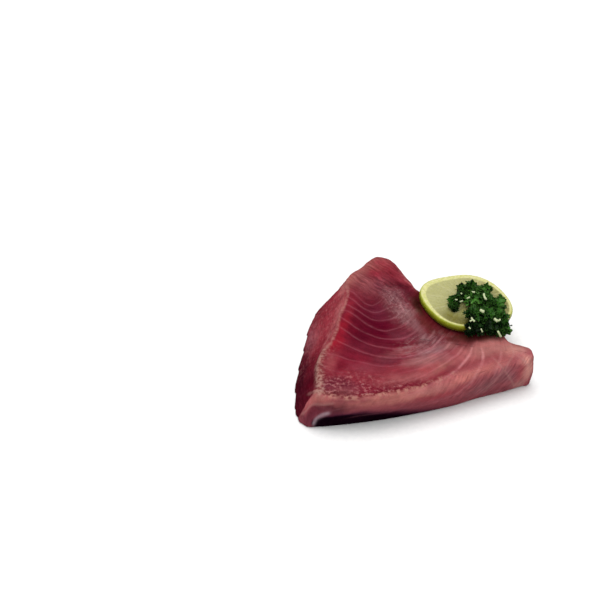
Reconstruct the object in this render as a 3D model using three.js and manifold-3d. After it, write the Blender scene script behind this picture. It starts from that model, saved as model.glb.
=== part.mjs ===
// Raw tuna steak: one thick triangular slice cut across a loin, with a round
// slice of lime lying on its right-hand part and a sprig of curly parsley on
// the lime. Millimetres, +Z up. The steak lies on its lower cut face at z = 0,
// its long front edge runs along X and its apex points to +Y.

import * as THREE from 'three';
import { mergeVertices } from 'three/addons/utils/BufferGeometryUtils.js';
import Module from 'manifold-3d';

// ---- Driving dimensions ----------------------------------------------------

const THICKNESS = 21.4;           // steak, between its two cut faces
const GAP = 0.3;                  // kept between pieces that touch
const ORIGIN = [1.2, 1.9];        // middle of the part, in the plan coordinates used below

// The rim of the upper cut face, anticlockwise from the front left corner.
// x, y: the rim. foot: how far the lower face stands out beyond the rim (minus
// where the side is undercut). roll: radius of the rolled upper edge.
const RIM = [
  // front edge, under the smooth skin side
  [-57.4, -45.2, 1.5, 2], [-50, -50, -2.4, 2.5], [-33, -54.5, -5.5, 3], [-16, -55, -5.4, 3.5],
  [2, -53.5, -4.2, 4.5], [18, -51.5, -3.2, 6], [32, -49.5, -3.4, 8], [45, -47.5, -2.7, 8],
  // blunt right-hand end
  [54.5, -46, -2.5, 5.5], [60, -44.2, -1.5, 3], [61.8, -42, 0.8, 2], [62, -38, 1.2, 1.5],
  [58.5, -34.6, 1.5, 2],
  // back edge, under the lime
  [54.5, -29.5, 1.5, 2.5], [54, -19, 1.5, 3], [54, -8, 1.5, 3], [50, 2, 2, 3],
  [42, 9.5, 2, 2.5], [31, 13.5, 3, 2], [22, 19, 3, 1.5], [20.8, 30, 3, 1],
  [20, 42, 3, 1],
  // apex and its short thin edge
  [18, 51.5, 2.5, 1], [12.2, 56, 2.5, 1], [5.9, 53.6, 3.5, 0.8], [-0.9, 49, 5, 0.8],
  [-7.4, 45.3, 8, 0.8],
  // left-hand face, sloping out to the foot
  [-12.2, 37.5, 14, 1], [-20, 23, 17, 1], [-27.5, 9, 17, 1], [-37, -4, 14.5, 1],
  [-46, -17, 12, 1], [-52, -30, 10.5, 1.5], [-55.8, -38.8, 9.5, 2], [-58, -42.6, 6.6, 2],
];
const LEFT_FACE = [26.5, 34.5];   // RIM stations between which the side is frayed

const CENTRE = [6, -16];          // every rim point is in sight from here
const FOOT_RADIUS = 1.6;          // roll of the lower edge
const LEAST_ROLL = 0.7;           // the upper edge is nowhere sharper than this
const FRAY = 0.4;                 // depth of the torn steps in the left-hand face
const FRAY_STEPS = 8;             // torn steps along the left-hand face
const FRAY_LEAN = 1.6;            // steps that a tear shifts by from foot to rim
const SPREAD = 1.3;               // how late the wall spreads to a foot that stands out, 1 if evenly
const BELLY = 1.1;                // bulge of the wall halfway up

// Swells and hollows of the upper face: x, y, height, reach in x, reach in y.
const SWELLS = [
  [18, 8, 3.0, 17, 24],           // shoulder that lifts the lime's left side
  [50, -38, 1.6, 17, 7],          // crest along the right-hand end
  [-42, -30, 0.7, 16, 18],        // full front left corner
  [-6, -14, -0.9, 18, 15],        // shallow dip in the middle of the muscle
  [-6, 50, -1.6, 12, 7],          // edge thins towards the apex
];

// The flesh beside the lime: how far from the slice it stays level, how steeply
// it then rises, and how softly it meets the face around.
const BESIDE = { level: 1, rise: 0.35, power: 1.4, soft: 0.8 };

const LIME = { x: 42.4, y: 2.6, z: 26.3, radius: 23.9, thickness: 4, tilt: 4 };   // tilt: down to +X
const LIME_OVAL = 0.045;          // how much longer than wide its outline is, along X
const LIME_SQUARE = { share: 0.04, turn: -38 };   // four blunt corners in its outline
const LIME_SIDES = 64;
const LIME_DEPTH = 4;             // thicknesses below the slice that the parsley keeps out of
const PITH_STEP = 0.25;           // pulp stands this far below the pith ring
const PULP_RADIUS = 21.5;

// Tufts of the parsley: x, y, lift of the tuft's middle over the lime, radius.
const TUFTS = [
  [33.9, -2.2, 2.5, 5], [41.9, 7.6, 3, 5], [47.8, 10.6, 2.5, 3.9], [54.8, 6.6, 2.5, 4.2],
  [42.9, -3.5, 4.5, 5], [48.5, -6.7, 5, 5], [54.6, -8.6, 3.5, 5.2], [37.6, -14.8, 4.5, 5],
  [43.2, -18.4, 6, 5.5], [50.6, -19, 4.5, 5], [34.7, -22.2, 2, 5], [40.9, -23.6, 2.5, 4.8],
  [47.7, -23.8, 2.5, 4.8], [52.6, -23.2, 1.2, 4.4], [57.2, -15.5, 1.2, 4.4],
];
// Tufts that hang over the lime's edge and rest on the flesh: no leaflets stand out of them.
const LOW_TUFTS = [
  [33.2, -23.8, -2.6, 3.2], [38.5, -25.6, -2.4, 3.2], [44, -26.8, -2, 3.2], [49.8, -26.8, -1.8, 3.2],
  [55.2, -23.2, -1.5, 3.6],
];
const MOUND = { x: 45.5, y: -7.5, lift: 0.6, reachX: 11.5, reachY: 17, height: 3.2 };  // under the tufts
const TUFT_CORE = { share: 0.6, lift: 0.8, least: 1.2 };   // width by the radius, height by the lift
const LEAFLETS_PER_TUFT = 2;
const LEAFLET_RISE = [-8, 40];    // degrees over the level
const LEAFLET_TURN = 20;          // degrees by which a heading may be off
const LEAFLET_SIZE = [0.85, 1.15];    // by the tuft's radius
const LEAF_THICKNESS = 0.9;
const LEAF_RUFFLE = 0.16;         // depth of the ruffles, as a share of the leaflet
const LEAF_CUP = 0.25;            // how far the leaflet's edge turns up, likewise
const SEED = 11;

// ---- Small helpers ---------------------------------------------------------

const wasm = await Module();
wasm.setup();

const rad = THREE.MathUtils.degToRad;
const bell = (share) => Math.exp(-share * share);

function randomFrom(seed) {
  let state = seed;
  return () => {
    state = (state * 1664525 + 1013904223) % 4294967296;
    return state / 4294967296;
  };
}

function geometryFrom(vertices, triangles) {
  const geometry = new THREE.BufferGeometry();
  geometry.setAttribute('position', new THREE.Float32BufferAttribute(vertices.flat(), 3));
  geometry.setIndex(triangles.flat());
  return geometry;
}

function toSolid(geometry) {
  const bare = geometry.clone();
  bare.deleteAttribute('normal');
  bare.deleteAttribute('uv');
  const merged = mergeVertices(bare, 1e-4);
  return new wasm.Manifold(new wasm.Mesh({
    numProp: 3,
    vertProperties: new Float32Array(merged.attributes.position.array),
    triVerts: new Uint32Array(merged.index.array),
  }));
}

function toGeometry(solid) {
  const mesh = solid.getMesh();
  const geometry = new THREE.BufferGeometry();
  geometry.setAttribute('position', new THREE.BufferAttribute(mesh.vertProperties, 3));
  geometry.setIndex(new THREE.BufferAttribute(mesh.triVerts, 1));
  return geometry;
}

// A closed body from rings of equal length, first ring to last, with a fan to
// a single point at each end. The rings run anticlockwise, from the underside
// outwards, up and in again over the top.
function ringBody(firstPoint, rings, lastPoint) {
  const sides = rings[0].length;
  const vertices = [firstPoint, ...rings.flat(), lastPoint];
  const triangles = [];
  const at = (ring, side) => 1 + ring * sides + (side % sides);
  const last = vertices.length - 1;
  for (let side = 0; side < sides; side++) {
    triangles.push([0, at(0, side + 1), at(0, side)]);
    for (let ring = 0; ring < rings.length - 1; ring++) {
      const [a, b] = [at(ring, side), at(ring, side + 1)];
      const [c, d] = [at(ring + 1, side + 1), at(ring + 1, side)];
      triangles.push([a, b, c], [a, c, d]);
    }
    triangles.push([last, at(rings.length - 1, side), at(rings.length - 1, side + 1)]);
  }
  return geometryFrom(vertices, triangles);
}

// ---- Lime slice ------------------------------------------------------------

const limeFrame = new THREE.Matrix4()
  .makeTranslation(LIME.x, LIME.y, LIME.z)
  .multiply(new THREE.Matrix4().makeRotationY(rad(LIME.tilt)));

// Height of the lime's upper face over a plan point.
function limeTop(x) {
  return LIME.z - Math.tan(rad(LIME.tilt)) * (x - LIME.x);
}

// A nearly round disc lying on its axis Z, its upper face at z = 0.
function limeDisc(profile) {
  const points = profile.map(([r, z]) => new THREE.Vector2(r, z));
  const disc = new THREE.LatheGeometry(points, LIME_SIDES).rotateX(Math.PI / 2);
  const place = disc.attributes.position;
  for (let i = 0; i < place.count; i++) {
    const angle = Math.atan2(place.getY(i), place.getX(i));
    const corners = LIME_SQUARE.share * Math.cos(4 * (angle - rad(LIME_SQUARE.turn)));
    const swell = 1 + corners + LIME_OVAL * Math.cos(2 * angle);
    place.setXY(i, place.getX(i) * swell, place.getY(i) * swell);
  }
  return disc.applyMatrix4(limeFrame);
}

function limeSlice() {
  const { radius: r, thickness: t } = LIME;
  const profile = [
    [0, -t + PITH_STEP], [PULP_RADIUS - 0.6, -t + PITH_STEP], [PULP_RADIUS, -t],
    [r - 0.9, -t], [r - 0.15, -t * 0.8], [r, -t * 0.5], [r - 0.15, -t * 0.2],
    [r - 0.6, 0], [PULP_RADIUS, 0], [PULP_RADIUS - 0.6, -PITH_STEP], [0, -PITH_STEP],
  ];
  return limeDisc(profile);
}

// The space that the lime and what lies straight below it take up.
function limeKeepOut() {
  const r = LIME.radius + GAP;
  const low = -LIME.thickness * LIME_DEPTH;
  return limeDisc([[0, low], [r, low], [r, GAP], [0, GAP]]);
}

// ---- Steak -----------------------------------------------------------------

// A smooth closed line through one pair of RIM columns.
function rimCurve(first, second) {
  const points = RIM.map((row) => new THREE.Vector3(row[first], row[second], 0));
  return new THREE.CatmullRomCurve3(points, true, 'catmullrom', 0.5);
}

// Soft lower of two heights, rounded over about `soft` millimetres.
function softMin(a, b, soft) {
  const h = THREE.MathUtils.clamp(0.5 + 0.5 * (b - a) / soft, 0, 1);
  return b + (a - b) * h - soft * h * (1 - h);
}

// Height of the upper cut face. The flesh gives under the lime, so it keeps
// below the slice and rises beside it.
function fleshTop(x, y) {
  let z = THICKNESS;
  for (const [sx, sy, height, reachX, reachY] of SWELLS) {
    z += height * bell((x - sx) / reachX) * bell((y - sy) / reachY);
  }
  const beside = Math.max(0, Math.hypot(x - LIME.x, y - LIME.y) - LIME.radius - BESIDE.level);
  const underLime = limeTop(x) - LIME.thickness / Math.cos(rad(LIME.tilt)) - GAP;
  return softMin(z, underLime + BESIDE.rise * beside ** BESIDE.power, BESIDE.soft);
}

// Torn steps in the left-hand face, deepest halfway up.
function fray(station, up) {
  const [from, to] = LEFT_FACE;
  const along = (station - from) / (to - from);
  if (along <= 0 || along >= 1) return 0;
  const tooth = (along * FRAY_STEPS + up * FRAY_LEAN) % 1;
  return FRAY * Math.sin(Math.PI * along) ** 0.5 * (1 - up) * (tooth - 0.5) * 2;
}

function steakBody() {
  const STEPS = 4;                // sides between two RIM stations
  const AHEAD = 0.004;            // share of the rim to look ahead and behind for its direction
  const sides = RIM.length * STEPS;
  const line = rimCurve(0, 1);
  const shape = rimCurve(2, 3);
  const stations = [];
  for (let i = 0; i < sides; i++) {
    const t = i / sides;
    const { x, y } = line.getPoint(t);
    const { x: foot, y: roll } = shape.getPoint(t);
    const ahead = line.getPoint((t + AHEAD) % 1);
    const behind = line.getPoint((t + 1 - AHEAD) % 1);
    const out = new THREE.Vector2(ahead.y - behind.y, behind.x - ahead.x).normalize();
    stations.push({ x, y, foot, roll: Math.max(LEAST_ROLL, roll), out, station: t * RIM.length });
  }

  const shifted = (s, offset) => [s.x + s.out.x * offset, s.y + s.out.y * offset];
  const inward = ([x, y], share) => [
    CENTRE[0] + (x - CENTRE[0]) * share, CENTRE[1] + (y - CENTRE[1]) * share];

  const rings = [];
  // flat underside
  for (const share of [0.5, 1]) {
    rings.push(stations.map((s) => [...inward(shifted(s, s.foot - FOOT_RADIUS), share), 0]));
  }
  // side wall: rolled foot, belly, rolled upper edge
  const topOf = (s) => fleshTop(...shifted(s, -s.roll));
  const wallPoint = (s, up, fromFoot, fromRim) => {
    const z = topOf(s) * up;
    const lean = s.foot * (1 - up) ** (s.foot < 0 ? 1 : SPREAD);
    const belly = BELLY * Math.sin(Math.PI * up);
    return [...shifted(s, lean + belly + fray(s.station, up) - fromFoot - fromRim), z];
  };
  for (const turn of [30, 60]) {
    const drop = FOOT_RADIUS * (1 - Math.sin(rad(turn)));
    const lift = FOOT_RADIUS * (1 - Math.cos(rad(turn)));
    rings.push(stations.map((s) => wallPoint(s, lift / topOf(s), drop, 0)));
  }
  for (const share of [0, 0.25, 0.5, 0.75]) {
    rings.push(stations.map((s) => {
      const from = FOOT_RADIUS / topOf(s);
      const to = 1 - s.roll / topOf(s);
      return wallPoint(s, from + (to - from) * share, 0, 0);
    }));
  }
  for (const turn of [0, 25, 50, 75]) {
    rings.push(stations.map((s) => {
      const edge = s.roll * (1 - Math.cos(rad(turn)));
      const up = 1 - (s.roll / topOf(s)) * (1 - Math.sin(rad(turn)));
      return wallPoint(s, up, 0, edge);
    }));
  }
  // upper cut face
  for (const share of [1, 0.92, 0.82, 0.7, 0.56, 0.4, 0.22]) {
    rings.push(stations.map((s) => {
      const [x, y] = inward(shifted(s, -s.roll), share);
      return [x, y, fleshTop(x, y)];
    }));
  }
  return ringBody([...CENTRE, 0], rings, [...CENTRE, fleshTop(...CENTRE)]);
}

// ---- Parsley ---------------------------------------------------------------

// One curly leaflet: a thin ruffled fan, both faces split alike, its stalk end
// at the origin and its blade along +X.
function leaflet(size, turns, phase) {
  const ARMS = 6;
  const HOOPS = 2;
  const vertices = [];
  const point = (arm, hoop, face) => {
    const angle = rad(-105 + (210 * arm) / (ARMS - 1));
    const share = (hoop + 0.35) / (HOOPS + 0.35);
    const lobe = 0.82 + 0.18 * Math.cos(angle * 4);
    const r = size * share * lobe * (0.72 + 0.28 * Math.cos(angle * 0.6));
    const ruffle = size * LEAF_RUFFLE * share * share * Math.sin(angle * turns + phase);
    const cup = size * LEAF_CUP * share * share;
    return [r * Math.cos(angle), r * Math.sin(angle), ruffle + cup + face * LEAF_THICKNESS / 2];
  };
  const rows = HOOPS + 1;
  for (const face of [1, -1]) {
    for (let arm = 0; arm < ARMS; arm++) {
      for (let hoop = 0; hoop < rows; hoop++) vertices.push(point(arm, hoop, face));
    }
  }
  const at = (arm, hoop, face) => (face > 0 ? 0 : ARMS * rows) + arm * rows + hoop;
  const triangles = [];
  for (let arm = 0; arm < ARMS - 1; arm++) {
    for (let hoop = 0; hoop < rows - 1; hoop++) {
      const corner = (face) => [at(arm, hoop, face), at(arm, hoop + 1, face),
        at(arm + 1, hoop + 1, face), at(arm + 1, hoop, face)];
      const [a, b, c, d] = corner(1);
      triangles.push([a, b, c], [a, c, d]);
      const [e, f, g, h] = corner(-1);
      triangles.push([e, g, f], [e, h, g]);
    }
  }
  // the edge, followed once round
  const edge = [];
  for (let hoop = 0; hoop < rows; hoop++) edge.push([0, hoop]);
  for (let arm = 1; arm < ARMS; arm++) edge.push([arm, rows - 1]);
  for (let hoop = rows - 2; hoop >= 0; hoop--) edge.push([ARMS - 1, hoop]);
  for (let arm = ARMS - 2; arm > 0; arm--) edge.push([arm, 0]);
  edge.forEach(([arm, hoop], i) => {
    const [nextArm, nextHoop] = edge[(i + 1) % edge.length];
    const [a, b] = [at(arm, hoop, 1), at(nextArm, nextHoop, 1)];
    const [c, d] = [at(arm, hoop, -1), at(nextArm, nextHoop, -1)];
    triangles.push([a, c, d], [a, d, b]);
  });
  return geometryFrom(vertices, triangles);
}

function parsleySprig(steak) {
  const random = randomFrom(SEED);
  const between = ([low, high]) => low + (high - low) * random();
  const mound = new THREE.IcosahedronGeometry(1, 1).scale(MOUND.reachX, MOUND.reachY, MOUND.height);
  mound.rotateY(rad(LIME.tilt));
  mound.translate(MOUND.x, MOUND.y, limeTop(MOUND.x) + MOUND.lift);
  const parts = [toSolid(mound)];
  for (const [x, y, lift, radius] of LOW_TUFTS) {
    const core = new THREE.IcosahedronGeometry(1, 1).scale(radius, radius, radius);
    parts.push(toSolid(core.translate(x, y, limeTop(x) + lift)));
  }
  for (const [x, y, lift, radius] of TUFTS) {
    const middle = new THREE.Vector3(x, y, limeTop(x) + lift);
    const width = radius * TUFT_CORE.share;
    const height = lift * TUFT_CORE.lift + TUFT_CORE.least;
    const core = new THREE.IcosahedronGeometry(1, 1).scale(width, width, height);
    parts.push(toSolid(core.translate(...middle.toArray())));
    for (let i = 0; i < LEAFLETS_PER_TUFT; i++) {
      const heading = rad((360 * i) / LEAFLETS_PER_TUFT + between([-LEAFLET_TURN, LEAFLET_TURN]));
      const rise = rad(between(LEAFLET_RISE));
      const ruffles = between([4, 5.5]);
      const blade = leaflet(radius * between(LEAFLET_SIZE), ruffles, between([0, 2 * Math.PI]));
      blade.translate(radius * 0.12, 0, 0);
      blade.rotateY(-rise).rotateZ(heading);
      parts.push(toSolid(blade.translate(...middle.toArray())));
    }
  }
  let sprig = parts[0];
  for (const part of parts.slice(1)) sprig = sprig.add(part);
  sprig = sprig.subtract(toSolid(limeKeepOut()));
  sprig = sprig.subtract(toSolid(steak.clone().translate(0, 0, GAP)));
  const pieces = sprig.decompose().sort((a, b) => b.volume() - a.volume());
  return toGeometry(pieces[0]);
}

// ---- Assembly --------------------------------------------------------------

function piece(name, geometry, color, roughness) {
  const material = new THREE.MeshStandardMaterial({ color, roughness, metalness: 0 });
  const mesh = new THREE.Mesh(geometry, material);
  mesh.name = name;
  return mesh;
}

const steak = steakBody();
const tunaSteak = new THREE.Group();
tunaSteak.position.set(-ORIGIN[0], -ORIGIN[1], 0);
tunaSteak.add(
  piece('steak', steak, 0x7d1f2c, 0.35),
  piece('lime_slice', limeSlice(), 0xc9cf6a, 0.3),
  piece('parsley', parsleySprig(steak), 0x1f4a1a, 0.55),
);

export default tunaSteak;
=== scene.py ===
"""A raw tuna steak with a lime slice and a sprig of curly parsley on it.

The looks of the part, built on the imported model.
"""

import itertools
import math
from types import SimpleNamespace

import bpy
import numpy as np
from mathutils import Matrix, Vector


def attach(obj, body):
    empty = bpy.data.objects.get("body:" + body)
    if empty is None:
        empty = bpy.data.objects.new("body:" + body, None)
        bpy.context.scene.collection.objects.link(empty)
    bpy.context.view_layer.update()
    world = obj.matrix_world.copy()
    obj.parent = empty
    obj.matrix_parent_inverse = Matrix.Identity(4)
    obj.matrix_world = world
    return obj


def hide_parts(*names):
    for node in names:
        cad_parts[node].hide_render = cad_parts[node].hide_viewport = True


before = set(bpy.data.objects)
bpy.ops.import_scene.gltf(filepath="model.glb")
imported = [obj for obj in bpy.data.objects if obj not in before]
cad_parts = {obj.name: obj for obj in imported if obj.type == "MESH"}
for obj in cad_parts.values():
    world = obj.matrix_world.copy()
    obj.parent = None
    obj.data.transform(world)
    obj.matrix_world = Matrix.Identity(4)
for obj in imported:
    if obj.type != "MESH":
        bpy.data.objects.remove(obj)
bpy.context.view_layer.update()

# Lengths are millimetres until a mesh is made. Plan places are measured from
# ORIGIN, which is where the drawing's zero lies in the row's own frame.
MM = 0.001
ORIGIN = np.array([1.2, 1.9, 0.0])

# ---- Small helpers ----

# whole numbers that scatter neighbouring places in noise()
SCATTER_X, SCATTER_Y, SCATTER_Z, SCATTER_SEED = 73856093, 19349663, 83492791, 2654435761
STIRS = ((15, 2246822519), (13, 3266489917))
LOW_BITS = 0xFFFFFFFF


def rad(degrees):
    return np.radians(degrees)


def smooth_step(low, high, value):
    """0 below low, 1 above high, smooth between."""
    share = np.clip((value - low) / (high - low), 0, 1)
    return share * share * (3 - 2 * share)


def bell(distance, reach):
    """1 at no distance, falling to a third at the reach."""
    return np.exp(-(distance / reach) ** 2)


def linear(colour):
    """A screen colour of 0 to 255 as linear light."""
    c = np.asarray(colour, float) / 255
    return np.where(c <= 0.04045, c / 12.92, ((c + 0.055) / 1.055) ** 2.4)


def paint(colour):
    """The reflectance, with alpha, that reads as this screen colour in full light."""
    return (*np.clip(linear(colour) / FULL_LIGHT, 0, 1), 1)


def noise(points, cell, seed=0):
    """Smooth noise from -1 to 1 at points (n, 2 or 3); cell is its grain, one number or
    one for each axis."""
    q = np.asarray(points, float) / cell
    if q.shape[1] == 2:
        q = np.c_[q, np.zeros(len(q))]
    base = np.floor(q).astype(np.int64)
    share = q - base
    share = share * share * (3 - 2 * share)
    total = np.zeros(len(q))
    for corner in itertools.product((0, 1), repeat=3):
        x, y, z = (base + corner).T
        h = (x * SCATTER_X ^ y * SCATTER_Y ^ z * SCATTER_Z ^ (seed + 1) * SCATTER_SEED) & LOW_BITS
        for shift, factor in STIRS:
            h = ((h ^ (h >> shift)) * factor) & LOW_BITS
        h = h ^ (h >> 16)
        weight = np.prod(np.where(np.array(corner) == 1, share, 1 - share), axis=1)
        total += weight * (h / 2 ** 31 - 1)
    return total


def shaken(points, waves):
    """Plan points, each moved a little, by waves of a grain, a seed and a reach."""
    return points + sum(np.c_[noise(points, cell, seed), noise(points, cell, seed + 1)] * reach
                        for cell, seed, reach in waves)


def turned(points, degrees):
    """Plan points in axes that are turned anticlockwise by this angle."""
    c, s = math.cos(rad(degrees)), math.sin(rad(degrees))
    x, y = points[:, 0], points[:, 1]
    return np.c_[x * c + y * s, y * c - x * s]


def patch_share(points, x, y, along, across, turn):
    """1 in the middle of a soft ellipse, falling to nothing outside it."""
    local = turned(points - (x, y), turn)
    return np.exp(-((local[:, 0] / along) ** 2 + (local[:, 1] / across) ** 2) ** 1.3)


def between_knots(p0, p1, p2, p3, w):
    """The smooth curve from p1 to p2, at share w, that the knots beside them lead."""
    m1, m2 = (p2 - p0) / 2, (p3 - p1) / 2
    return (p1 + m1 * w + (-3 * p1 + 3 * p2 - 2 * m1 - m2) * w ** 2
            + (2 * p1 - 2 * p2 + m1 + m2) * w ** 3)


def closed_curve(rows, t):
    """The smooth closed line through the rows, at t from 0 to 1."""
    n = len(rows)
    i = np.floor(t * n).astype(int)
    return between_knots(*(rows[(i + k) % n] for k in (-1, 0, 1, 2)), (t * n - i)[:, None])


def smooth_line(knots, steps=6):
    """An open line through the knots, rounded between them."""
    k = np.array(knots, float)
    k = np.vstack([2 * k[0] - k[1], k, 2 * k[-1] - k[-2]])
    line = [between_knots(*k[i - 1:i + 3], w)
            for i in range(1, len(k) - 2) for w in np.arange(steps) / steps]
    return np.array([*line, k[-2]])


def softened(line, passes):
    """The line with its bends rounded off."""
    line = line.copy()
    for _ in range(passes):
        line[1:-1] = (line[:-2] + 2 * line[1:-1] + line[2:]) / 4
    return line


def line_gap(points, line):
    """For each point: its distance to the line, positive on the left, the ends carried
    straight on; and how far it lies past the line's ends."""
    best = np.full(len(points), np.inf)
    signed = np.zeros(len(points))
    real = np.full(len(points), np.inf)
    last = len(line) - 2
    for k, (a, b) in enumerate(zip(line[:-1], line[1:])):
        along = b - a
        free = (points - a) @ along / (along @ along)
        held = np.clip(free, 0, 1)
        share = np.clip(free, -np.inf if k == 0 else 0, np.inf if k == last else 1)
        gap = points - a - share[:, None] * along
        d = np.hypot(*gap.T)
        side = np.copysign(d, along[0] * gap[:, 1] - along[1] * gap[:, 0])
        near = d < best
        best = np.where(near, d, best)
        signed = np.where(near, side, signed)
        real = np.minimum(real, np.hypot(*(points - a - held[:, None] * along).T))
    return signed, np.sqrt(np.maximum(0, real ** 2 - best ** 2))


def make_mesh(name, points, faces, material, body="root", replaces=(), stage=False):
    """A smooth mesh piece from drawing places in millimetres."""
    mesh = bpy.data.meshes.new(name)
    places = (np.asarray(points) - ORIGIN) * MM
    mesh.from_pydata(places.tolist(), [], [list(map(int, f)) for f in faces])
    mesh.shade_smooth()
    mesh.materials.append(material)
    piece = bpy.data.objects.new(name, mesh)
    bpy.context.scene.collection.objects.link(piece)
    if stage:
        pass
    else:
        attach(piece, body)
        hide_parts(*replaces)
    return piece


def add_values(piece, **layers):
    """For each point of the mesh a number, or a vector of three, by the layer's name."""
    for name, values in layers.items():
        values = np.asarray(values, np.float32)
        kind, field = ("FLOAT", "value") if values.ndim == 1 else ("FLOAT_VECTOR", "vector")
        layer = piece.data.attributes.new(name, kind, "POINT")
        layer.data.foreach_set(field, values.ravel())


def add_colour(piece, name, colours):
    layer = piece.data.color_attributes.new(name, "FLOAT_COLOR", "POINT")
    with_alpha = np.c_[colours, np.ones(len(colours))].astype(np.float32)
    layer.data.foreach_set("color", with_alpha.ravel())


def ring_faces(rings, sides):
    """Quads between closed rings that follow each other, rings * sides points."""
    at = np.arange(rings * sides).reshape(rings, sides)
    following = np.roll(at, -1, axis=1)
    return np.stack([at[:-1], following[:-1], following[1:], at[1:]], -1).reshape(-1, 4)


def capped_faces(rings, sides):
    """Those quads, with the first and the last ring closed."""
    first, last = range(sides - 1, -1, -1), range((rings - 1) * sides, rings * sides)
    return [*map(tuple, ring_faces(rings, sides)), tuple(first), tuple(last)]


def ring_normals(grid):
    """The outward direction at each point of a grid of rings (rings, sides, 3)."""
    around = np.roll(grid, -1, axis=1) - np.roll(grid, 1, axis=1)
    across = np.gradient(grid, axis=0)
    normal = np.cross(around, across)
    return normal / np.maximum(np.linalg.norm(normal, axis=2, keepdims=True), 1e-9)


class Nodes:
    """A material's node tree, with short ways to add and link its nodes."""

    def __init__(self, name):
        self.material = bpy.data.materials.new(name)
        self.material.use_nodes = True
        self.tree = self.material.node_tree
        self.tree.nodes.clear()
        self.shader = self.add("ShaderNodeBsdfPrincipled")
        out = self.add("ShaderNodeOutputMaterial")
        self.tree.links.new(self.shader.outputs[0], out.inputs[0])

    def add(self, kind, **settings):
        node = self.tree.nodes.new(kind)
        for key, value in settings.items():
            setattr(node, key, value)
        return node

    def put(self, value, socket):
        """Links a node's output to the socket, or sets it to a number or colour."""
        if isinstance(value, bpy.types.NodeSocket):
            self.tree.links.new(value, socket)
        else:
            socket.default_value = value

    def set(self, **values):
        """Principled inputs by name, spaces written as underscores."""
        for key, value in values.items():
            self.put(value, self.shader.inputs[key.replace("_", " ")])

    def value(self, name, output="Fac"):
        return self.add("ShaderNodeAttribute", attribute_name=name).outputs[output]

    def vector(self, name):
        return self.value(name, "Vector")

    def split(self, vector):
        """The three numbers of a vector."""
        node = self.add("ShaderNodeSeparateXYZ")
        self.put(vector, node.inputs[0])
        return node.outputs

    def math(self, operation, *values, clamp=False):
        node = self.add("ShaderNodeMath", operation=operation, use_clamp=clamp)
        for value, socket in zip(values, node.inputs):
            self.put(value, socket)
        return node.outputs[0]

    def plus(self, a, b):
        return self.math("ADD", a, b)

    def minus(self, a, b):
        return self.math("SUBTRACT", a, b)

    def times(self, first, *others, clamp=False):
        for other in others:
            first = self.math("MULTIPLY", first, other, clamp=clamp)
        return first

    def between(self, a, b, share):
        """The number a, turning into b by share."""
        return self.plus(a, self.times(self.minus(b, a), share))

    def mix(self, share, a, b, blend="MIX"):
        """Colour a, and b over it by share."""
        node = self.add("ShaderNodeMix", data_type="RGBA", blend_type=blend)
        colours = [s for s in node.inputs if s.type == "RGBA"]
        self.put(share, node.inputs["Factor"])
        self.put(a, colours[0])
        self.put(b, colours[1])
        return next(s for s in node.outputs if s.type == "RGBA")

    def scaled(self, share, colour, factors):
        """The colour, by share times the factors of its red, green and blue."""
        return self.mix(share, colour, self.mix(1.0, colour, (*factors, 1), "MULTIPLY"))

    def ramp(self, value, low, high, start=0.0, end=1.0):
        """start at low, end at high, smooth between."""
        node = self.add("ShaderNodeMapRange", interpolation_type="SMOOTHSTEP")
        ends = (("From Min", low), ("From Max", high), ("To Min", start), ("To Max", end))
        for key, amount in ends:
            node.inputs[key].default_value = amount
        self.put(value, node.inputs["Value"])
        return node.outputs[0]

    def place(self, vector=None, scale=(1, 1, 1)):
        """The vector times the scale, or object places in millimetres times it."""
        if vector is None:
            vector = self.add("ShaderNodeTexCoord").outputs["Object"]
            scale = tuple(s / MM for s in scale)
        node = self.add("ShaderNodeMapping")
        self.put(vector, node.inputs["Vector"])
        node.inputs["Scale"].default_value = scale
        return node.outputs[0]

    def noise(self, vector, scale, detail=2.0, roughness=0.5):
        node = self.add("ShaderNodeTexNoise")
        self.put(vector, node.inputs["Vector"])
        node.inputs["Scale"].default_value = scale
        node.inputs["Detail"].default_value = detail
        node.inputs["Roughness"].default_value = roughness
        return node.outputs[0]

    def cells(self, vector, scale):
        node = self.add("ShaderNodeTexVoronoi")
        self.put(vector, node.inputs["Vector"])
        node.inputs["Scale"].default_value = scale
        return node.outputs["Distance"]

    def bump(self, height, distance):
        """distance is the height in millimetres of a rise of 1."""
        node = self.add("ShaderNodeBump")
        node.inputs["Distance"].default_value = distance * MM
        self.put(height, node.inputs["Height"])
        return node.outputs[0]


# ---- Camera, light and floor ----

VIEW_AZIMUTH = -21.4         # degrees from the row's front, towards the left
VIEW_ELEVATION = 38.0
VIEW_ROLL = 5.0
VIEW_DISTANCE = 950.0
VIEW_TARGET = np.array([-31.95, 54.3, 0.0])   # where the view's axis meets the floor
VIEW_WIDTH = 330.0           # width of the picture at the target
SENSOR = 36.0

FULL_LIGHT = 1.72            # light on an open level face, 1 being where white reads as white
ROOM_LIGHT = 0.78

azimuth, elevation, roll = (rad(a) for a in (VIEW_AZIMUTH, VIEW_ELEVATION, VIEW_ROLL))
back = Vector((math.sin(azimuth) * math.cos(elevation), -math.cos(azimuth) * math.cos(elevation),
               math.sin(elevation)))
right = Vector((math.cos(azimuth), math.sin(azimuth), 0))
up = back.cross(right)
camera_data = bpy.data.cameras.new("camera")
camera_data.sensor_width = SENSOR
camera_data.lens = SENSOR * VIEW_DISTANCE / VIEW_WIDTH
camera_data.clip_start, camera_data.clip_end = 0.05, 20
camera = bpy.data.objects.new("camera", camera_data)
axes = (right * math.cos(roll) + up * math.sin(roll),
        up * math.cos(roll) - right * math.sin(roll), back)
target = Vector((VIEW_TARGET - ORIGIN) * MM)
camera.matrix_world = Matrix.Translation(target + back * VIEW_DISTANCE * MM) \
    @ Matrix(axes).transposed().to_4x4()
bpy.context.scene.collection.objects.link(camera)
bpy.context.scene.camera = camera
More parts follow.
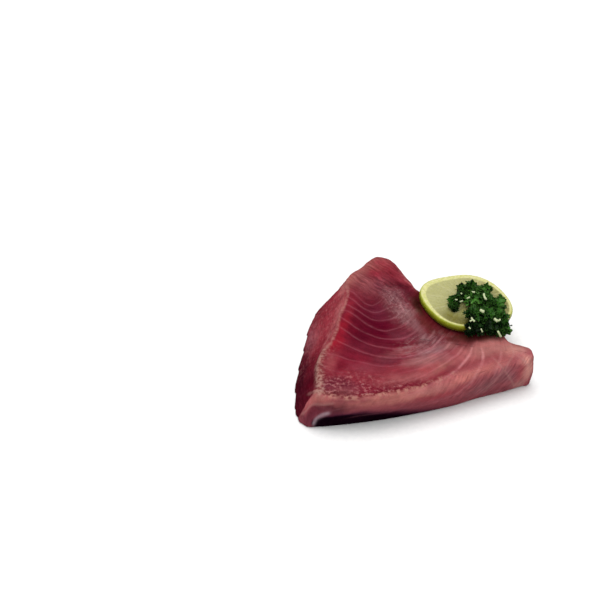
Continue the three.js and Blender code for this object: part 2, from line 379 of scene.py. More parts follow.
bpy.context.scene.view_settings.view_transform = "Standard"


def soft_light(name, place, size, watts):
    """A square softbox at place, in metres, that faces the object."""
    data = bpy.data.lights.new(name, "AREA")
    data.shape = "SQUARE"
    data.size = size
    data.energy = watts
    lamp = bpy.data.objects.new(name, data)
    lamp.location = place
    lamp.rotation_mode = "QUATERNION"
    lamp.rotation_quaternion = Vector(place).to_track_quat("Z", "Y")
    bpy.context.scene.collection.objects.link(lamp)


soft_light("softbox_overhead", (-0.12, 0.16, 1.15), 0.9, 13.0)
soft_light("softbox_front", (-0.2, -0.9, 0.9), 0.8, 5.0)

world = bpy.data.worlds.new("studio")
world.use_nodes = True
world.node_tree.nodes["Background"].inputs["Color"].default_value = (1, 1, 1, 1)
world.node_tree.nodes["Background"].inputs["Strength"].default_value = ROOM_LIGHT
bpy.context.scene.world = world

PAPER, PAPER_FLECK = (0.67, 0.67, 0.67, 1), (0.7, 0.7, 0.695, 1)
paper = Nodes("white_board")
grain = paper.noise(paper.place(), 0.4, detail=4)
paper.set(Base_Color=paper.mix(paper.ramp(grain, 0.3, 0.7), PAPER, PAPER_FLECK),
          Roughness=0.85, Specular_IOR_Level=0.2)
HALF_FLOOR = 3000.0
corners = [(x * HALF_FLOOR, y * HALF_FLOOR, 0) for x, y in ((-1, -1), (1, -1), (1, 1), (-1, 1))]
floor = make_mesh("floor", corners, [(0, 1, 2, 3)], paper.material, stage=True)

# ---- Lime slice: where it lies ----

LIME_MIDDLE = np.array([42.4, 2.6, 26.3])
LIME_RADIUS = 23.9
LIME_THICKNESS = 4.0
LIME_TILT = 4.0              # degrees down towards +X
LIME_OVAL = 0.045            # how much longer than wide its outline is, along X
LIME_SQUARE = 0.04           # how far the outline leans to a square
LIME_SQUARE_TURN = -38.0
GAP = 0.3                    # air between the slice and the flesh


def lime_top(x, y):
    """Height of the slice's upper face over a plan point."""
    return LIME_MIDDLE[2] - math.tan(rad(LIME_TILT)) * (x - LIME_MIDDLE[0])


def from_lime_middle(x, y):
    return np.hypot(x - LIME_MIDDLE[0], y - LIME_MIDDLE[1])


def from_lime(points):
    """Places in the slice's own axes, Z off its upper face, as drawing places."""
    c, s = math.cos(rad(LIME_TILT)), math.sin(rad(LIME_TILT))
    x, y, z = np.asarray(points, float).T
    return np.c_[x * c + z * s, y, z * c - x * s] + LIME_MIDDLE


# ---- Steak: its body ----

THICKNESS = 21.4
# round the upper face: x, y, how far the foot stands out, the roll of the upper edge
RIM = np.array([
    (-57.4, -45.2, 1.5, 2), (-50, -50, -2.4, 2.5), (-33, -54.5, -5.5, 3), (-16, -55, -5.4, 3.5),
    (2, -53.5, -4.2, 4.5), (18, -51.5, -3.2, 6), (32, -49.5, -3.4, 8), (45, -47.5, -2.7, 8),
    (54.5, -46, -2.5, 5.5), (60, -44.2, -1.5, 3), (61.8, -42, 0.8, 2), (62, -38, 1.2, 1.5),
    (58.5, -34.6, 1.5, 2), (54.5, -29.5, 1.5, 2.5), (54, -19, 1.5, 3), (54, -8, 1.5, 3),
    (50, 2, 2, 3), (42, 9.5, 2, 2.5), (31, 13.5, 3, 2), (22, 19, 3, 1.5),
    (20.8, 30, 3, 1), (20, 42, 3, 1), (18, 51.5, 2.5, 1), (12.2, 56, 2.5, 1),
    (5.9, 53.6, 3.5, 0.8), (-0.9, 49, 5, 0.8), (-7.4, 45.3, 8, 0.8), (-12.2, 37.5, 14, 1),
    (-20, 23, 17, 1), (-27.5, 9, 17, 1), (-37, -4, 14.5, 1), (-46, -17, 12, 1),
    (-52, -30, 10.5, 1.5), (-55.8, -38.8, 9.5, 2), (-58, -42.6, 6.6, 2)])
RIGHT_END = 12.0             # the rim station at which the front ends
LEFT_FACE = (26.5, 34.5)     # the rim stations between which the left face lies
LEFT_CORNER = (33.2, 34.2)   # those over which it turns into the front
FRONT_START = 33.0           # the station after which the front begins
CENTRE = np.array([6.0, -16.0])
FOOT_RADIUS = 1.6
LEAST_ROLL = 0.7
SPREAD = 1.3                 # how late the wall spreads to a foot that stands out, 1 if evenly
BELLY = 1.1                  # bulge of the wall halfway up
FRAY = 0.4
FRAY_STEPS = 8
FRAY_SLANT = 1.6             # steps that a torn edge shifts from foot to rim
# swells of the upper face: x, y, height, reach in x and in y
SWELLS = ((18, 8, 3.0, 17, 24), (50, -38, 1.6, 17, 7), (-42, -30, 0.7, 16, 18),
          (-6, -14, -0.9, 18, 15), (-6, 50, -1.6, 12, 7))
# the hollow under the lime: its air at the side, how it rises past the slice, how softly
# it meets the face
HOLLOW_MARGIN = 1.0
HOLLOW_RISE, HOLLOW_CURVE = 0.35, 1.4
HOLLOW_SOFT = 0.8
SIDES_PER_STATION = 20
SIDE_STEP = 0.004            # share of the rim over which its direction is taken
UNDER_RINGS = (0.03, 0.3, 0.6, 0.9, 1.0)
FOOT_TURNS = (22.5, 45, 67.5)
WALL_RINGS = 26
ROLL_RINGS = 9
TOP_RINGS = 98


def flesh_top(x, y):
    """Height of the upper face, which gives way under the lime."""
    z = np.full(np.shape(x), THICKNESS)
    for sx, sy, height, reach_x, reach_y in SWELLS:
        z = z + height * bell(x - sx, reach_x) * bell(y - sy, reach_y)
    beside = np.maximum(0, from_lime_middle(x, y) - LIME_RADIUS - HOLLOW_MARGIN)
    cap = (lime_top(x, y) - LIME_THICKNESS / math.cos(rad(LIME_TILT)) - GAP
           + HOLLOW_RISE * beside ** HOLLOW_CURVE)
    share = np.clip(0.5 + 0.5 * (cap - z) / HOLLOW_SOFT, 0, 1)
    return cap + (z - cap) * share - HOLLOW_SOFT * share * (1 - share)


def fray(station, high):
    """Torn steps in the left-hand face."""
    along = (station - LEFT_FACE[0]) / (LEFT_FACE[1] - LEFT_FACE[0])
    inside = (along > 0) & (along < 1)
    along = np.clip(along, 0, 1)
    tooth = (along * FRAY_STEPS + high * FRAY_SLANT) % 1
    depth = FRAY * np.sqrt(np.sin(np.pi * along)) * (1 - high)
    return np.where(inside, depth * (tooth - 0.5) * 2, 0)


def steak_rings():
    """The steak as rings from the underside up the wall and over the rim to the middle of
    the top; with each point's place on the flesh chart, its share of the height and its
    rim station. The chart is the plan of the top, rolled out flat over the edges."""
    count = len(RIM) * SIDES_PER_STATION
    t = np.arange(count) / count
    rim = closed_curve(RIM, t)
    xy, foot, edge = rim[:, :2], rim[:, 2], np.maximum(LEAST_ROLL, rim[:, 3])
    ahead = (closed_curve(RIM[:, :2], (t + SIDE_STEP) % 1)
             - closed_curve(RIM[:, :2], (t + 1 - SIDE_STEP) % 1))
    out = np.c_[ahead[:, 1], -ahead[:, 0]] / np.hypot(*ahead.T)[:, None]
    station = t * len(RIM)
    inset = xy - out * edge[:, None]
    top = flesh_top(*inset.T)
    rings, heights = [], []

    def wall(high, from_foot, from_rim):
        lean = foot * (1 - high) ** np.where(foot < 0, 1, SPREAD)
        belly = BELLY * np.sin(np.pi * high)
        off = lean + belly + fray(station, high) - from_foot - from_rim
        rings.append(np.c_[xy + out * off[:, None], top * high])
        heights.append(high)

    for share in UNDER_RINGS:
        plan = xy + out * (foot - FOOT_RADIUS)[:, None]
        rings.append(np.c_[CENTRE + (plan - CENTRE) * share, 0 * t])
        heights.append(0 * t)
    for turn in rad(np.array(FOOT_TURNS)):
        wall(FOOT_RADIUS * (1 - np.cos(turn)) / top, FOOT_RADIUS * (1 - np.sin(turn)), 0)
    for share in np.arange(WALL_RINGS) / WALL_RINGS:
        low = FOOT_RADIUS / top
        wall(low + (1 - edge / top - low) * share, 0, 0)
    for turn in rad(90 * np.arange(ROLL_RINGS) / ROLL_RINGS):
        wall(1 - (edge / top) * (1 - np.sin(turn)), 0, edge * (1 - np.cos(turn)))
    first_top = len(rings)
    for share in 1 - np.arange(TOP_RINGS) / TOP_RINGS:
        plan = CENTRE + (inset - CENTRE) * share
        rings.append(np.c_[plan, flesh_top(*plan.T)])
        heights.append(0 * t + 1)

    grid = np.array(rings)
    chart = grid[:, :, :2].copy()
    run = np.zeros(count)
    for ring in range(first_top - 1, -1, -1):
        run = run + np.linalg.norm(grid[ring] - grid[ring + 1], axis=1)
        chart[ring] = inset + out * run[:, None]
    return grid, chart, np.array(heights), np.tile(station, (len(grid), 1))


# ---- Steak: the pattern of its flesh ----

# The pale sheets of tissue between the flakes, as they show in the cut: each
# line's strength, and its places on the chart, from the foot of the left face
# or from the front to the side under the lime.
SEPTA = (
    (0.3, ((-36, 62), (-17, 38), (-10, 27), (-5.5, 20.5), (-2.5, 20), (1, 23.5))),
    (0.9, ((-38, 56), (-20, 36), (-13.1, 29.9), (-10.6, 21.7), (-7.6, 16.1), (-5.1, 15.1),
           (-0.1, 17.9), (5, 24))),
    (1.0, ((-41, 49), (-24, 31), (-16.5, 25.5), (-13.6, 20.2), (-11, 13.8), (-6.2, 8.7),
           (1.3, 9.7), (8, 16))),
    (1.0, ((-45, 43), (-28, 25), (-19.8, 20), (-16.8, 16.1), (-10.7, 5.5), (-8.2, 3.1),
           (2.4, 1.7), (10, 8))),
    (1.0, ((-48, 39), (-31, 21), (-23, 16), (-19.5, 12.5), (-13.2, -0.4), (-7.9, -4.7),
           (-3.8, -6.3), (5.1, -5.1), (13, 1))),
    (1.0, ((-52, 35), (-36, 17), (-29, 13), (-25, 9.7), (-18.4, -4), (-9.2, -11.1), (-1.8, -13.7),
           (5, -13), (14, -7))),
    (1.0, ((-56, 28), (-40, 9), (-32, 6.5), (-28.5, 2.5), (-22.1, -10.5), (-15.3, -16.5),
           (-4.8, -21.3), (5.7, -21.6), (14.1, -18.5), (22, -12))),
    (1.0, ((-61, 19), (-45, 1), (-38, -3.5), (-33.3, -8.8), (-27.7, -15.8), (-21.5, -21.8),
           (-14.4, -25.5), (-6.9, -28), (5, -27.5), (15, -23), (26, -14))),
    (0.9, ((-66, 8), (-50, -10), (-44, -15.5), (-36.8, -21.1), (-30.2, -26.2), (-17.2, -32.8),
           (-9, -33.4), (6.4, -32.4), (22, -25.4), (32, -15))),
    (0.5, ((-72, -3), (-56, -21), (-48, -27), (-40, -33.5), (-27.7, -38.5), (-15.9, -40.5),
           (-9.5, -40.1), (2, -38), (13, -33.5), (24, -28.5), (34, -18))),
    (0.7, ((-76, -16), (-62, -31), (-52, -40), (-43, -46), (-34, -48.9), (-21.4, -49.5),
           (-10.3, -47.1), (-3.1, -45.6), (7, -41.4), (16.9, -36.6), (26, -31), (36, -20))),
    (1.0, ((-60, -56), (-40, -58), (-20, -57), (-8, -54.5), (1.7, -51.1), (10.2, -48.5),
           (18.9, -44.3), (27.2, -36.4), (31.2, -32.2), (38, -23))),
    (1.0, ((-40, -66), (-10, -66), (5, -64.5), (13.6, -61.2), (19.9, -55.6), (28.4, -47.6),
           (33.5, -41.8), (36.4, -35.5), (38.2, -28.3), (42, -18))),
    (0.5, ((20, -72), (30, -65), (36.5, -57.2), (37.5, -52.4), (40.3, -46), (44.9, -39.7),
           (49, -30), (52, -20))),
    (0.25, ((42, -72), (46, -62), (50, -53), (53, -44), (56, -34), (58, -24))),
)
SEPTUM_REACH = 0.936         # how far from its middle such a line has faded
SEPTUM_SOFTENING = 8
SEPTUM_FADE = 6.0            # how far it goes on past its ends
OUTER_PITCH = 7.0            # width given to the flakes beyond the first and the last line
PITCHES = (0.6, 14)          # the least and the greatest width

# Lines that cross those: along the top of the left face,
SEAM = ((-11, 43), (-12.5, 38), (-14.5, 31), (-17.5, 24), (-21, 18), (-25, 12), (-30, 2),
        (-35, -5), (-41, -12), (-47.3, -18), (-51.3, -26), (-53.4, -35), (-56, -44))
# along the top of the front,
CREST = ((-56, -45), (-50, -48.5), (-43, -51.5), (-38, -52.6), (-20, -52.8), (-5, -52), (1, -51),
         (7, -49.2), (15, -47), (26, -45.5), (38, -43.5), (50, -41.5), (60, -39))
# and all of them: strength, half width, places on the chart
STROKES = (
    (1.0, 1.2, SEAM),
    (1.0, 1.3, CREST[:9]),
    (0.5, 0.6, ((40.5, -43), (45, -50), (50, -56.5), (56, -63.5))),
    (0.6, 0.7, ((54, -43.5), (58, -47.5), (62, -51), (67, -53.5))),
    (0.5, 0.6, ((52.5, -35), (51, -41), (46, -46), (40, -53), (36, -61))),
    (0.7, 1.0, ((-73, -38), (-70, -42), (-65, -46.5), (-59, -50), (-53, -51.5))),
    (0.55, 0.8, ((-62, -35), (-59, -40), (-57, -44))),
)
STROKE_FADE = 2.5
# a streak of sinew at the foot of the front
WHITE_STREAK = ((-69, -58), (-66, -57), (-61.5, -57), (-57, -57.4))
# the hollow in the front beside the left-hand corner: a patch, and its depth
FRONT_HOLLOW, FRONT_HOLLOW_DEPTH = (-54, -55.5, 9, 3, -12), 0.7
# fibres and grains in low relief: the region, their height, the turn of their long way,
# their grain along and across it, seed
FIBRES = (("left_wall", 0.15, -60, (9, 2.5), 12), ("front_wall", 0.3, 4, (12, 2.5), 13),
          ("fibrous", 0.10, 80, (9, 1.2), 14), ("granular", 0.12, 0, 1.1, 15),
          ("cloudy", 0.05, -50, (4, 1.0), 16))
# how lines and patches are shaken: grain, seed and reach of each wave
LINE_WAVES = ((9, 1, 0.5), (3, 3, 0.14))
PATCH_WAVES = ((5, 5, 1.4), (1.8, 18, 0.5))

# Colours as they read on screen.
WINE = (84, 7, 29)
PLUM = (96, 24, 38)
RED = (118, 29, 45)
SCARLET = (147, 28, 43)
BRICK = (133, 36, 50)
ROSE = (137, 50, 60)
ROSY = (152, 70, 76)
PINK = (166, 90, 92)
SALMON = (164, 98, 92)
BLUSH = (174, 110, 106)
TAN = (192, 132, 122)
FADED = (144, 78, 82)
MAUVE = (124, 78, 82)
SHEEN_HAZE = (146, 98, 102)
DUSK = (110, 50, 62)
# painted shadow beside the lime, tinted by light off the lime
LIME_SHADOW_BROWN = (84, 38, 32)
SHADE = (64, 28, 36)
NIGHT = (52, 6, 20)
# painted shadow along the foot of the front
FOOT_SHADOW_INK = (14, 2, 10)
FRONT_GROUND = (136, 68, 74)
# painted shade towards the floor, on the front and on the back
FRONT_FOOT_SHADE = (96, 42, 54)
BACK_FOOT_SHADE = (96, 24, 36)
FOOT_SHADOW_EDGE = (72, 30, 48)     # painted shade at the edge of the painted shadow along the foot
SINEW = (150, 128, 136)
SHEEN_FILM = (168, 124, 126)       # painted sheen over the flesh towards the lime
SHEEN_WISP = (182, 140, 140)
FAT_AND_GLINT = (192, 128, 127)
HALO = (168, 86, 92)         # beside the lines of tissue
FOLD = (196, 142, 136)
SEAM_HIGH, SEAM_LOW = (184, 122, 116), (188, 148, 136)
CREST_FAT_AND_GLINT = (200, 144, 128)
# light that the lines of tissue add, and what they add towards the right-hand end
TISSUE, TISSUE_RIGHT = (0.07, 0.027, 0.034, 1), (0.13, 0.07, 0.07, 1)
LIME_SHADOW_LOSS = (0.4, 0.25, 0.5)    # painted shadow of the lime on the flesh beside it: share of red, green and blue that is lost there

# Where each colour lies on the chart, later ones over earlier ones: x, y, reach
# along, reach across, turn of the long way in degrees, colour, strength.
TOP_PATCHES = (
    # apex
    (3, 46, 16, 9, 30, SALMON, 0.85), (0, 33, 14, 11, 90, FADED, 0.85),
    (5.5, 40.5, 7, 5.5, 90, BRICK, 0.9), (11, 50, 5, 3.5, 0, ROSE, 0.8),
    (13, 42, 8, 4, 90, BRICK, 0.7), (-9.5, 40, 8, 3.5, 55, SALMON, 0.7),
    (4, 28, 9, 5, 90, DUSK, 0.8), (10.5, 29, 11, 4, 94, PLUM, 0.6),
    (15, 20, 10, 4.0, 90, (80, 22, 34), 0.9), (17.5, 34, 14, 2.6, 92, ROSE, 0.8),
    (20.5, 34, 14, 1.5, 92, PINK, 0.9),
    # dark flakes, and the brighter red beside the seam
    (-8, 0, 25, 13, 85, WINE, 1.0), (-20, -17, 13, 7, -30, (104, 30, 46), 0.9),
    (-14, -29, 8, 4, 0, DUSK, 0.6), (-19, 17, 12, 3.0, 62, BRICK, 0.8),
    (-26, 4, 9, 3.2, 60, SCARLET, 0.7), (-34.5, -8.5, 9, 4, 52, SCARLET, 0.9),
    (-42, -24, 8, 3.5, 60, ROSE, 0.6), (-5, 9, 8, 6, 90, (100, 36, 52), 0.6),
    (-32, -22, 6, 3, 40, (104, 20, 38), 0.5),
    # painted sheen on the flesh towards the lime, and the painted shadow of the lime beside it
    (6, 16, 9, 5, 90, MAUVE, 0.95), (7, 5, 6, 5, 0, MAUVE, 0.9),
    (3.5, -1.5, 5, 1.8, -8, PLUM, 0.8), (-20, -6, 8, 5, 60, (74, 8, 28), 0.7),
    (9.5, -6, 12, 3.5, 100, MAUVE, 0.95), (3, -13, 6, 4, 0, DUSK, 0.6),
    (13, -19, 8, 5, 20, MAUVE, 0.8), (-1, -24.5, 13, 3, 3, FADED, 0.7),
    (12, -28, 13, 4, 14, SHEEN_HAZE, 0.9), (2, -34, 10, 3, 6, FADED, 0.8),
    # painted shadow of the lime along its edge, tinted by light off the lime
    (15.5, 5, 10, 2.4, 95, LIME_SHADOW_BROWN, 0.95), (15, -8, 7, 2.6, 110, LIME_SHADOW_BROWN, 0.7),
    (22, -17, 8, 3, 135, LIME_SHADOW_BROWN, 0.5), (27, -22.5, 8, 2.4, -15, LIME_SHADOW_BROWN, 0.6),
    # towards the front
    (-34, -38, 24, 6, -8, ROSE, 0.7), (-45, -42, 11, 5, -20, DUSK, 0.9),
    (-12, -39, 13, 5, 0, ROSE, 0.7), (8, -37, 9, 4, 20, PINK, 0.9),
    (-6, -44, 18, 4, 3, PINK, 0.8), (6, -47, 7, 2.6, 15, ROSE, 0.6),
    (13, -40, 8, 2.4, 25, SALMON, 0.9), (26, -36, 12, 6, 35, PINK, 0.9),
    (38, -33, 10, 7, 0, BLUSH, 0.9), (48, -34, 9, 6, 0, BLUSH, 0.8),
    (32, -45, 12, 4, 14, PINK, 0.9), (54, -41, 8, 7, 0, TAN, 0.9),
    (-50, -20, 9, 2.4, 60, SALMON, 0.8), (-53.5, -34, 9, 2.6, 70, SALMON, 0.6),
    # finer differences, all over the face
    # (16, 8) and (29, -23): painted shadow beside the lime
    (-44, -42, 10, 4, -15, (108, 44, 54), 0.7), (16, 8, 5, 2.5, 95, (58, 15, 17), 0.8),
    (9, 18, 6, 7, 0, (96, 42, 54), 0.4), (3, 3, 3.5, 13, 0, (104, 44, 54), 0.45),
    (10.5, 2, 4, 3, 0, (150, 104, 104), 0.5), (29, -23, 5, 3, -10, (76, 27, 27), 0.8),
    (-27, -32, 9, 4, -20, (138, 58, 70), 0.7), (-38, -28, 4, 3, 60, (112, 22, 38), 0.6),
    (-45, -41, 6, 3, -20, (106, 36, 48), 0.6), (4, -40, 5, 2, 8, (156, 64, 68), 0.5),
    (-44, -23, 7, 3.5, 60, (148, 70, 74), 0.7), (-44, -47, 7, 3, -10, (138, 78, 80), 0.6),
    (-1, -10, 5, 4, 0, (112, 50, 62), 0.5), (3, -34, 10, 3, 6, (162, 104, 104), 0.8),
    (16, -34, 5, 2.5, 25, (158, 94, 96), 0.6), (22, -26, 5, 3, 0, (146, 92, 88), 0.6),
    (-50, -46, 6, 3, -15, (104, 42, 48), 0.7), (59, -44, 6, 5, 0, (212, 160, 150), 0.8),
    # (46, -28): painted light on the flesh under the parsley
    (46, -28, 9, 4, 0, (204, 124, 120), 0.9), (30, -26, 4, 4, 0, (112, 48, 50), 0.7),
    (-23, -2, 8, 3.5, 64, (96, 10, 30), 0.6), (16.5, 21, 6, 2.6, 92, (82, 20, 32), 0.7),
    (-44, -39, 5, 2.6, -10, (112, 38, 52), 0.5),
)
FRONT_PATCHES = (
    # the salmon band under the crest
    (-20, -56.5, 26, 3.6, 0, SALMON, 0.95), (0, -54, 12, 2.5, 10, BLUSH, 0.7),
    (22, -49, 12, 3.0, 14, SALMON, 0.9), (6, -58.5, 14, 2.5, 10, ROSE, 0.6),
    # towards the right-hand end
    (34, -57, 12, 5, 25, MAUVE, 0.8), (48, -52, 9, 5, -30, MAUVE, 0.8),
    (57, -55, 8, 3.6, -55, ROSE, 0.8), (38, -46, 10, 2.6, 5, SALMON, 0.7),
    (64, -52, 7, 7, 0, TAN, 0.9),
    # the left-hand corner and its flap
    (-68, -40, 11, 6, -40, PINK, 0.8), (-58, -48, 9, 3, -28, SALMON, 0.7),
    (-52, -57, 10, 4, -14, SHADE, 0.9), (-67, -51.5, 13, 5, -28, PLUM, 0.95),
    (-77, -45, 9, 2.4, 62, PLUM, 0.6), (-59, -53.5, 7, 3, -24, (84, 40, 46), 0.7),
    (60, -63, 9, 3.5, -15, (160, 108, 104), 0.9), (46, -64, 8, 2.5, -5, (126, 74, 80), 0.6),
    (58, -46, 4.5, 3, 0, (190, 132, 122), 0.9), (64, -62, 6, 4, -15, (170, 116, 110), 0.8),
    (-68, -52, 9, 4, -28, (88, 28, 40), 0.8),
)
LEFT_PATCHES = (
    (-22, 32, 26, 14, 66, (138, 42, 54), 1.0), (-38, 36, 12, 7, 70, ROSY, 0.25),
    (-36, 12, 20, 9, 62, (142, 50, 60), 0.9), (-25, 16, 16, 3.6, 60, PINK, 0.8),
    (-46, -4, 14, 7, 62, BRICK, 0.6), (-65, -12, 28, 9, 62, NIGHT, 0.8),
    (-56, 14, 12, 5, 62, NIGHT, 0.4), (-61, -30, 8, 5, 45, NIGHT, 0.8),
    (-42, 13, 14, 3.5, 62, ROSY, 0.4), (-24, 34, 12, 3, 66, ROSY, 0.35),
    (-45.5, 13, 14, 3, 62, (158, 80, 88), 0.7), (-39, -4, 10, 2.6, 60, PINK, 0.7),
    (-60, -31, 7, 5, 55, (88, 12, 28), 0.8), (-15, 39, 8, 3, 66, (178, 110, 108), 0.8),
    (-47, 20, 12, 2.6, 64, (152, 86, 94), 0.6), (-52, 4, 12, 4, 62, (88, 22, 36), 0.7),
    (-35, 28, 10, 4, 66, (130, 38, 50), 0.6), (-55, -12, 8, 3, 60, (92, 16, 30), 0.6),
)
BACK_PATCHES = (
    (56, -12, 16, 6, 90, BRICK, 0.8), (60, 0, 7, 4, 90, PINK, 0.5),
    (30, 18, 14, 4, -20, BRICK, 0.7), (26, 36, 16, 5, 90, (124, 34, 46), 0.8),
    (22, 50, 8, 4, 90, SALMON, 0.5), (14, 62, 10, 4, 0, SALMON, 0.5),
)
# how bright each face is lit by the softboxes, the level face being 1
FRONT_LIGHT = 0.73
LEFT_LIGHT = 0.93
# the painted shadow along the foot of the front, where it meets the floor: its upper edge
# on the chart at x = -60, how far that falls with X, and where it starts
FOOT_SHADOW_TOP = -58.8
FOOT_SHADOW_FALL = 0.22
FOOT_SHADOW_START = (-73, -69)


def flake_pattern(chart):
    """Where each point lies among the flakes: a running count of them (phase), its share
    of the way to the next line, their width, and the strength and distance of the line."""
    gaps, fades = [], []
    for strength, knots in SEPTA:
        signed, beyond = line_gap(chart, softened(smooth_line(knots), SEPTUM_SOFTENING))
        gaps.append(-signed)
        fades.append(strength * bell(beyond, SEPTUM_FADE))
    gaps, fades = np.array(gaps), np.array(fades)
    last = len(SEPTA) - 1
    reached = gaps >= 0
    passed = np.where(reached.any(axis=0), last - np.argmax(reached[::-1], axis=0), -1)
    row = np.arange(len(chart))
    before, after = np.maximum(passed, 0), np.minimum(passed + 1, last)
    near_gap, far_gap = gaps[before, row], gaps[after, row]
    pitch = np.where((passed >= 0) & (passed < last), near_gap - far_gap, OUTER_PITCH)
    pitch = np.clip(pitch, *PITCHES)
    phase = np.where(passed < 0, far_gap / OUTER_PITCH, passed + np.clip(near_gap / pitch, 0, 1))
    within = phase - np.floor(phase)
    nearer_next = smooth_step(0.35, 0.65, within)
    ink = fades[before, row] * (1 - nearer_next) + fades[after, row] * nearer_next
    return SimpleNamespace(phase=phase, within=within, pitch=pitch, ink=ink,
                           gap=np.minimum(within, 1 - within) * pitch)


def stroke_pattern(chart, wandering):
    """For each of the STROKES, how many half widths each point lies off it and how
    strong it is there."""
    strokes = []
    for strength, half_width, knots in STROKES:
        signed, beyond = line_gap(wandering, smooth_line(knots))
        strokes.append(np.c_[signed / half_width, strength * bell(beyond, STROKE_FADE)])
    seam_width = 0.75 + 0.3 * noise(chart, 4, 21) + 1.2 * smooth_step(8, 22, -chart[:, 1])
    strokes[0][:, 0] /= seam_width
    return strokes


def flesh_regions(body, chart, wandering, high, station):
    """How far, from 0 to 1, each point belongs to each face and each kind of flesh."""
    x, y = chart.T
    past_seam = line_gap(wandering, smooth_line(SEAM))[0]
    past_crest = line_gap(wandering, smooth_line(CREST))[0]
    past_apex = smooth_step(LEFT_FACE[0] - 1, LEFT_FACE[0], station)
    past_end = smooth_step(RIGHT_END - 0.5, RIGHT_END + 1, station)
    at = SimpleNamespace(wall=1 - smooth_step(0.9, 0.995, high))
    at.left_wall = at.wall * past_apex * (1 - smooth_step(*LEFT_CORNER, station))
    at.front_wall = (at.wall * (1 - at.left_wall)
                     * ((station < RIGHT_END) | (station > FRONT_START)))
    at.lime_gap = from_lime_middle(body[:, 0], body[:, 1]) - LIME_RADIUS

    # by colour the faces meet along the seam and the crest
    soft = 0.8 + 3 * smooth_step(12, 40, x)
    at.front = smooth_step(-soft, soft, -past_crest) * (1 - past_end * (station < FRONT_START - 1))
    at.left = smooth_step(-1.5, 2.0, -past_seam) * past_apex * (1 - at.front)
    at.back = at.wall * past_end * (1 - past_apex)
    at.top = (1 - at.front) * (1 - at.left) * (1 - at.back)

    # fibres run straight down above the flakes and beside the hollow of the lime; fat, with
    # painted wet glints, is granular in the left-hand corner and along the lower seam and the crest
    above_flakes = y - 19 + 1.27 * np.minimum(0, x + 2)
    at.fibrous = np.maximum(smooth_step(-2, 5, above_flakes), patch_share(chart, 7, 12, 15, 7, 90))
    seam_grains = bell(past_seam - 0.5, 4.0) * smooth_step(4, 20, -y)
    crest_grains = bell(past_crest - 2.5, 3.5) * (1 - smooth_step(-18, 12, x))
    corner_grains = patch_share(chart, -40, -41, 19, 8, -8)
    at.granular = at.top * np.clip(corner_grains + seam_grains + crest_grains, 0, 1)
    at.granular = at.granular + 0.4 * at.left * smooth_step(-25, 0, y)
    # where the painted sheen lies
    at.cloudy = np.maximum.reduce([patch_share(chart, 7, 10, 18, 6, 90),
                                   patch_share(chart, 8, -22, 15, 8, 12)])
    return at


def cover(colour, share, shade):
    """The colours, and the shade over them by share."""
    return colour * (1 - share[:, None]) + shade * share[:, None]


def painted(places, ground, patches):
    """The ground colour with the patches over it."""
    colour = np.tile(linear(ground), (len(places), 1))
    for x, y, along, across, turn, shade, strength in patches:
        share = strength * patch_share(places, x, y, along, across, turn)
        colour = cover(colour, share, linear(shade))
    return colour


def flesh_colour(chart, wandering, high, at):
    """The reflectance of each point, with painted shade and shadow in it, without the fine shades
    that the material adds.
    """
    x, y = chart.T
    blurred = shaken(chart, PATCH_WAVES)
    # the front and back walls painted darker towards the floor, as painted shade
    low = 1 - smooth_step(0.0, 0.75, high)
    shaded = 0.7 * low * (1 - 0.6 * smooth_step(0, 40, x))
    front = cover(painted(blurred, FRONT_GROUND, FRONT_PATCHES), shaded, linear(FRONT_FOOT_SHADE))
    # painted shadow along the foot of the front: near black, with painted shade at its edge
    sunk = FOOT_SHADOW_TOP - FOOT_SHADOW_FALL * (x + 60) + 0.5 * noise(chart, 5, 9) - y
    soft = 0.7 + 0.07 * np.maximum(0, x + 58)
    started = smooth_step(*FOOT_SHADOW_START, x)
    front = cover(front, started * smooth_step(-2 - soft, 0.5 * soft, sunk), linear(FOOT_SHADOW_EDGE))
    front = cover(front, started * smooth_step(-soft, soft, sunk), linear(FOOT_SHADOW_INK))
    streak, beyond = line_gap(wandering, smooth_line(WHITE_STREAK))
    front = cover(front, 0.75 * bell(streak, 1.0) * bell(beyond, 2), linear(SINEW))
    left = painted(blurred, PLUM, LEFT_PATCHES)
    back = cover(painted(blurred, ROSE, BACK_PATCHES), 0.6 * low, linear(BACK_FOOT_SHADE))
    colour = painted(blurred, RED, TOP_PATCHES)
    for share, shade in ((at.front, front / FRONT_LIGHT), (at.left, left / LEFT_LIGHT),
                         (at.back, back)):
        colour = cover(colour, share, shade)
    # painted shadow of the lime on the flesh beside it
    lime_shadow = at.top * (1 - smooth_step(1.5, 6.5, at.lime_gap + 0.8 * noise(chart, 4, 20)))
    colour = colour * (1 - lime_shadow[:, None] * LIME_SHADOW_LOSS)
    mottling = 1 + 0.10 * noise(chart, 7, 7) + 0.10 * noise(chart, 2.2, 8)
    return colour / FULL_LIGHT * mottling[:, None]


def fibre_pattern(chart, phase, at):
    """Places across and along the fibres; for those that run down from the apex, places
    across them; and how strongly the fibres show."""
    x, y = chart.T
    bowl = np.c_[phase * 5, 25 * np.arctan2(y - 28, x + 2)]
    grain = bowl + (turned(chart, 80)[:, ::-1] - bowl) * at.left[:, None]
    grain = grain + (turned(chart, 56)[:, ::-1] - grain) * at.front[:, None]
    rise = y - 15
    upright = x + 0.1 * rise + 0.009 * np.clip(rise, 0, 17) ** 2 + 0.3 * np.maximum(0, rise - 17)
    show = 0.35 + 0.65 * np.maximum(at.fibrous * (1 - 0.35 * smooth_step(24, 34, y)), at.cloudy)
    show = (show * at.top + 0.6 * (at.left + at.back)
            + at.front * (0.25 + 0.55 * smooth_step(0, 25, x)))
    return grain, upright, show


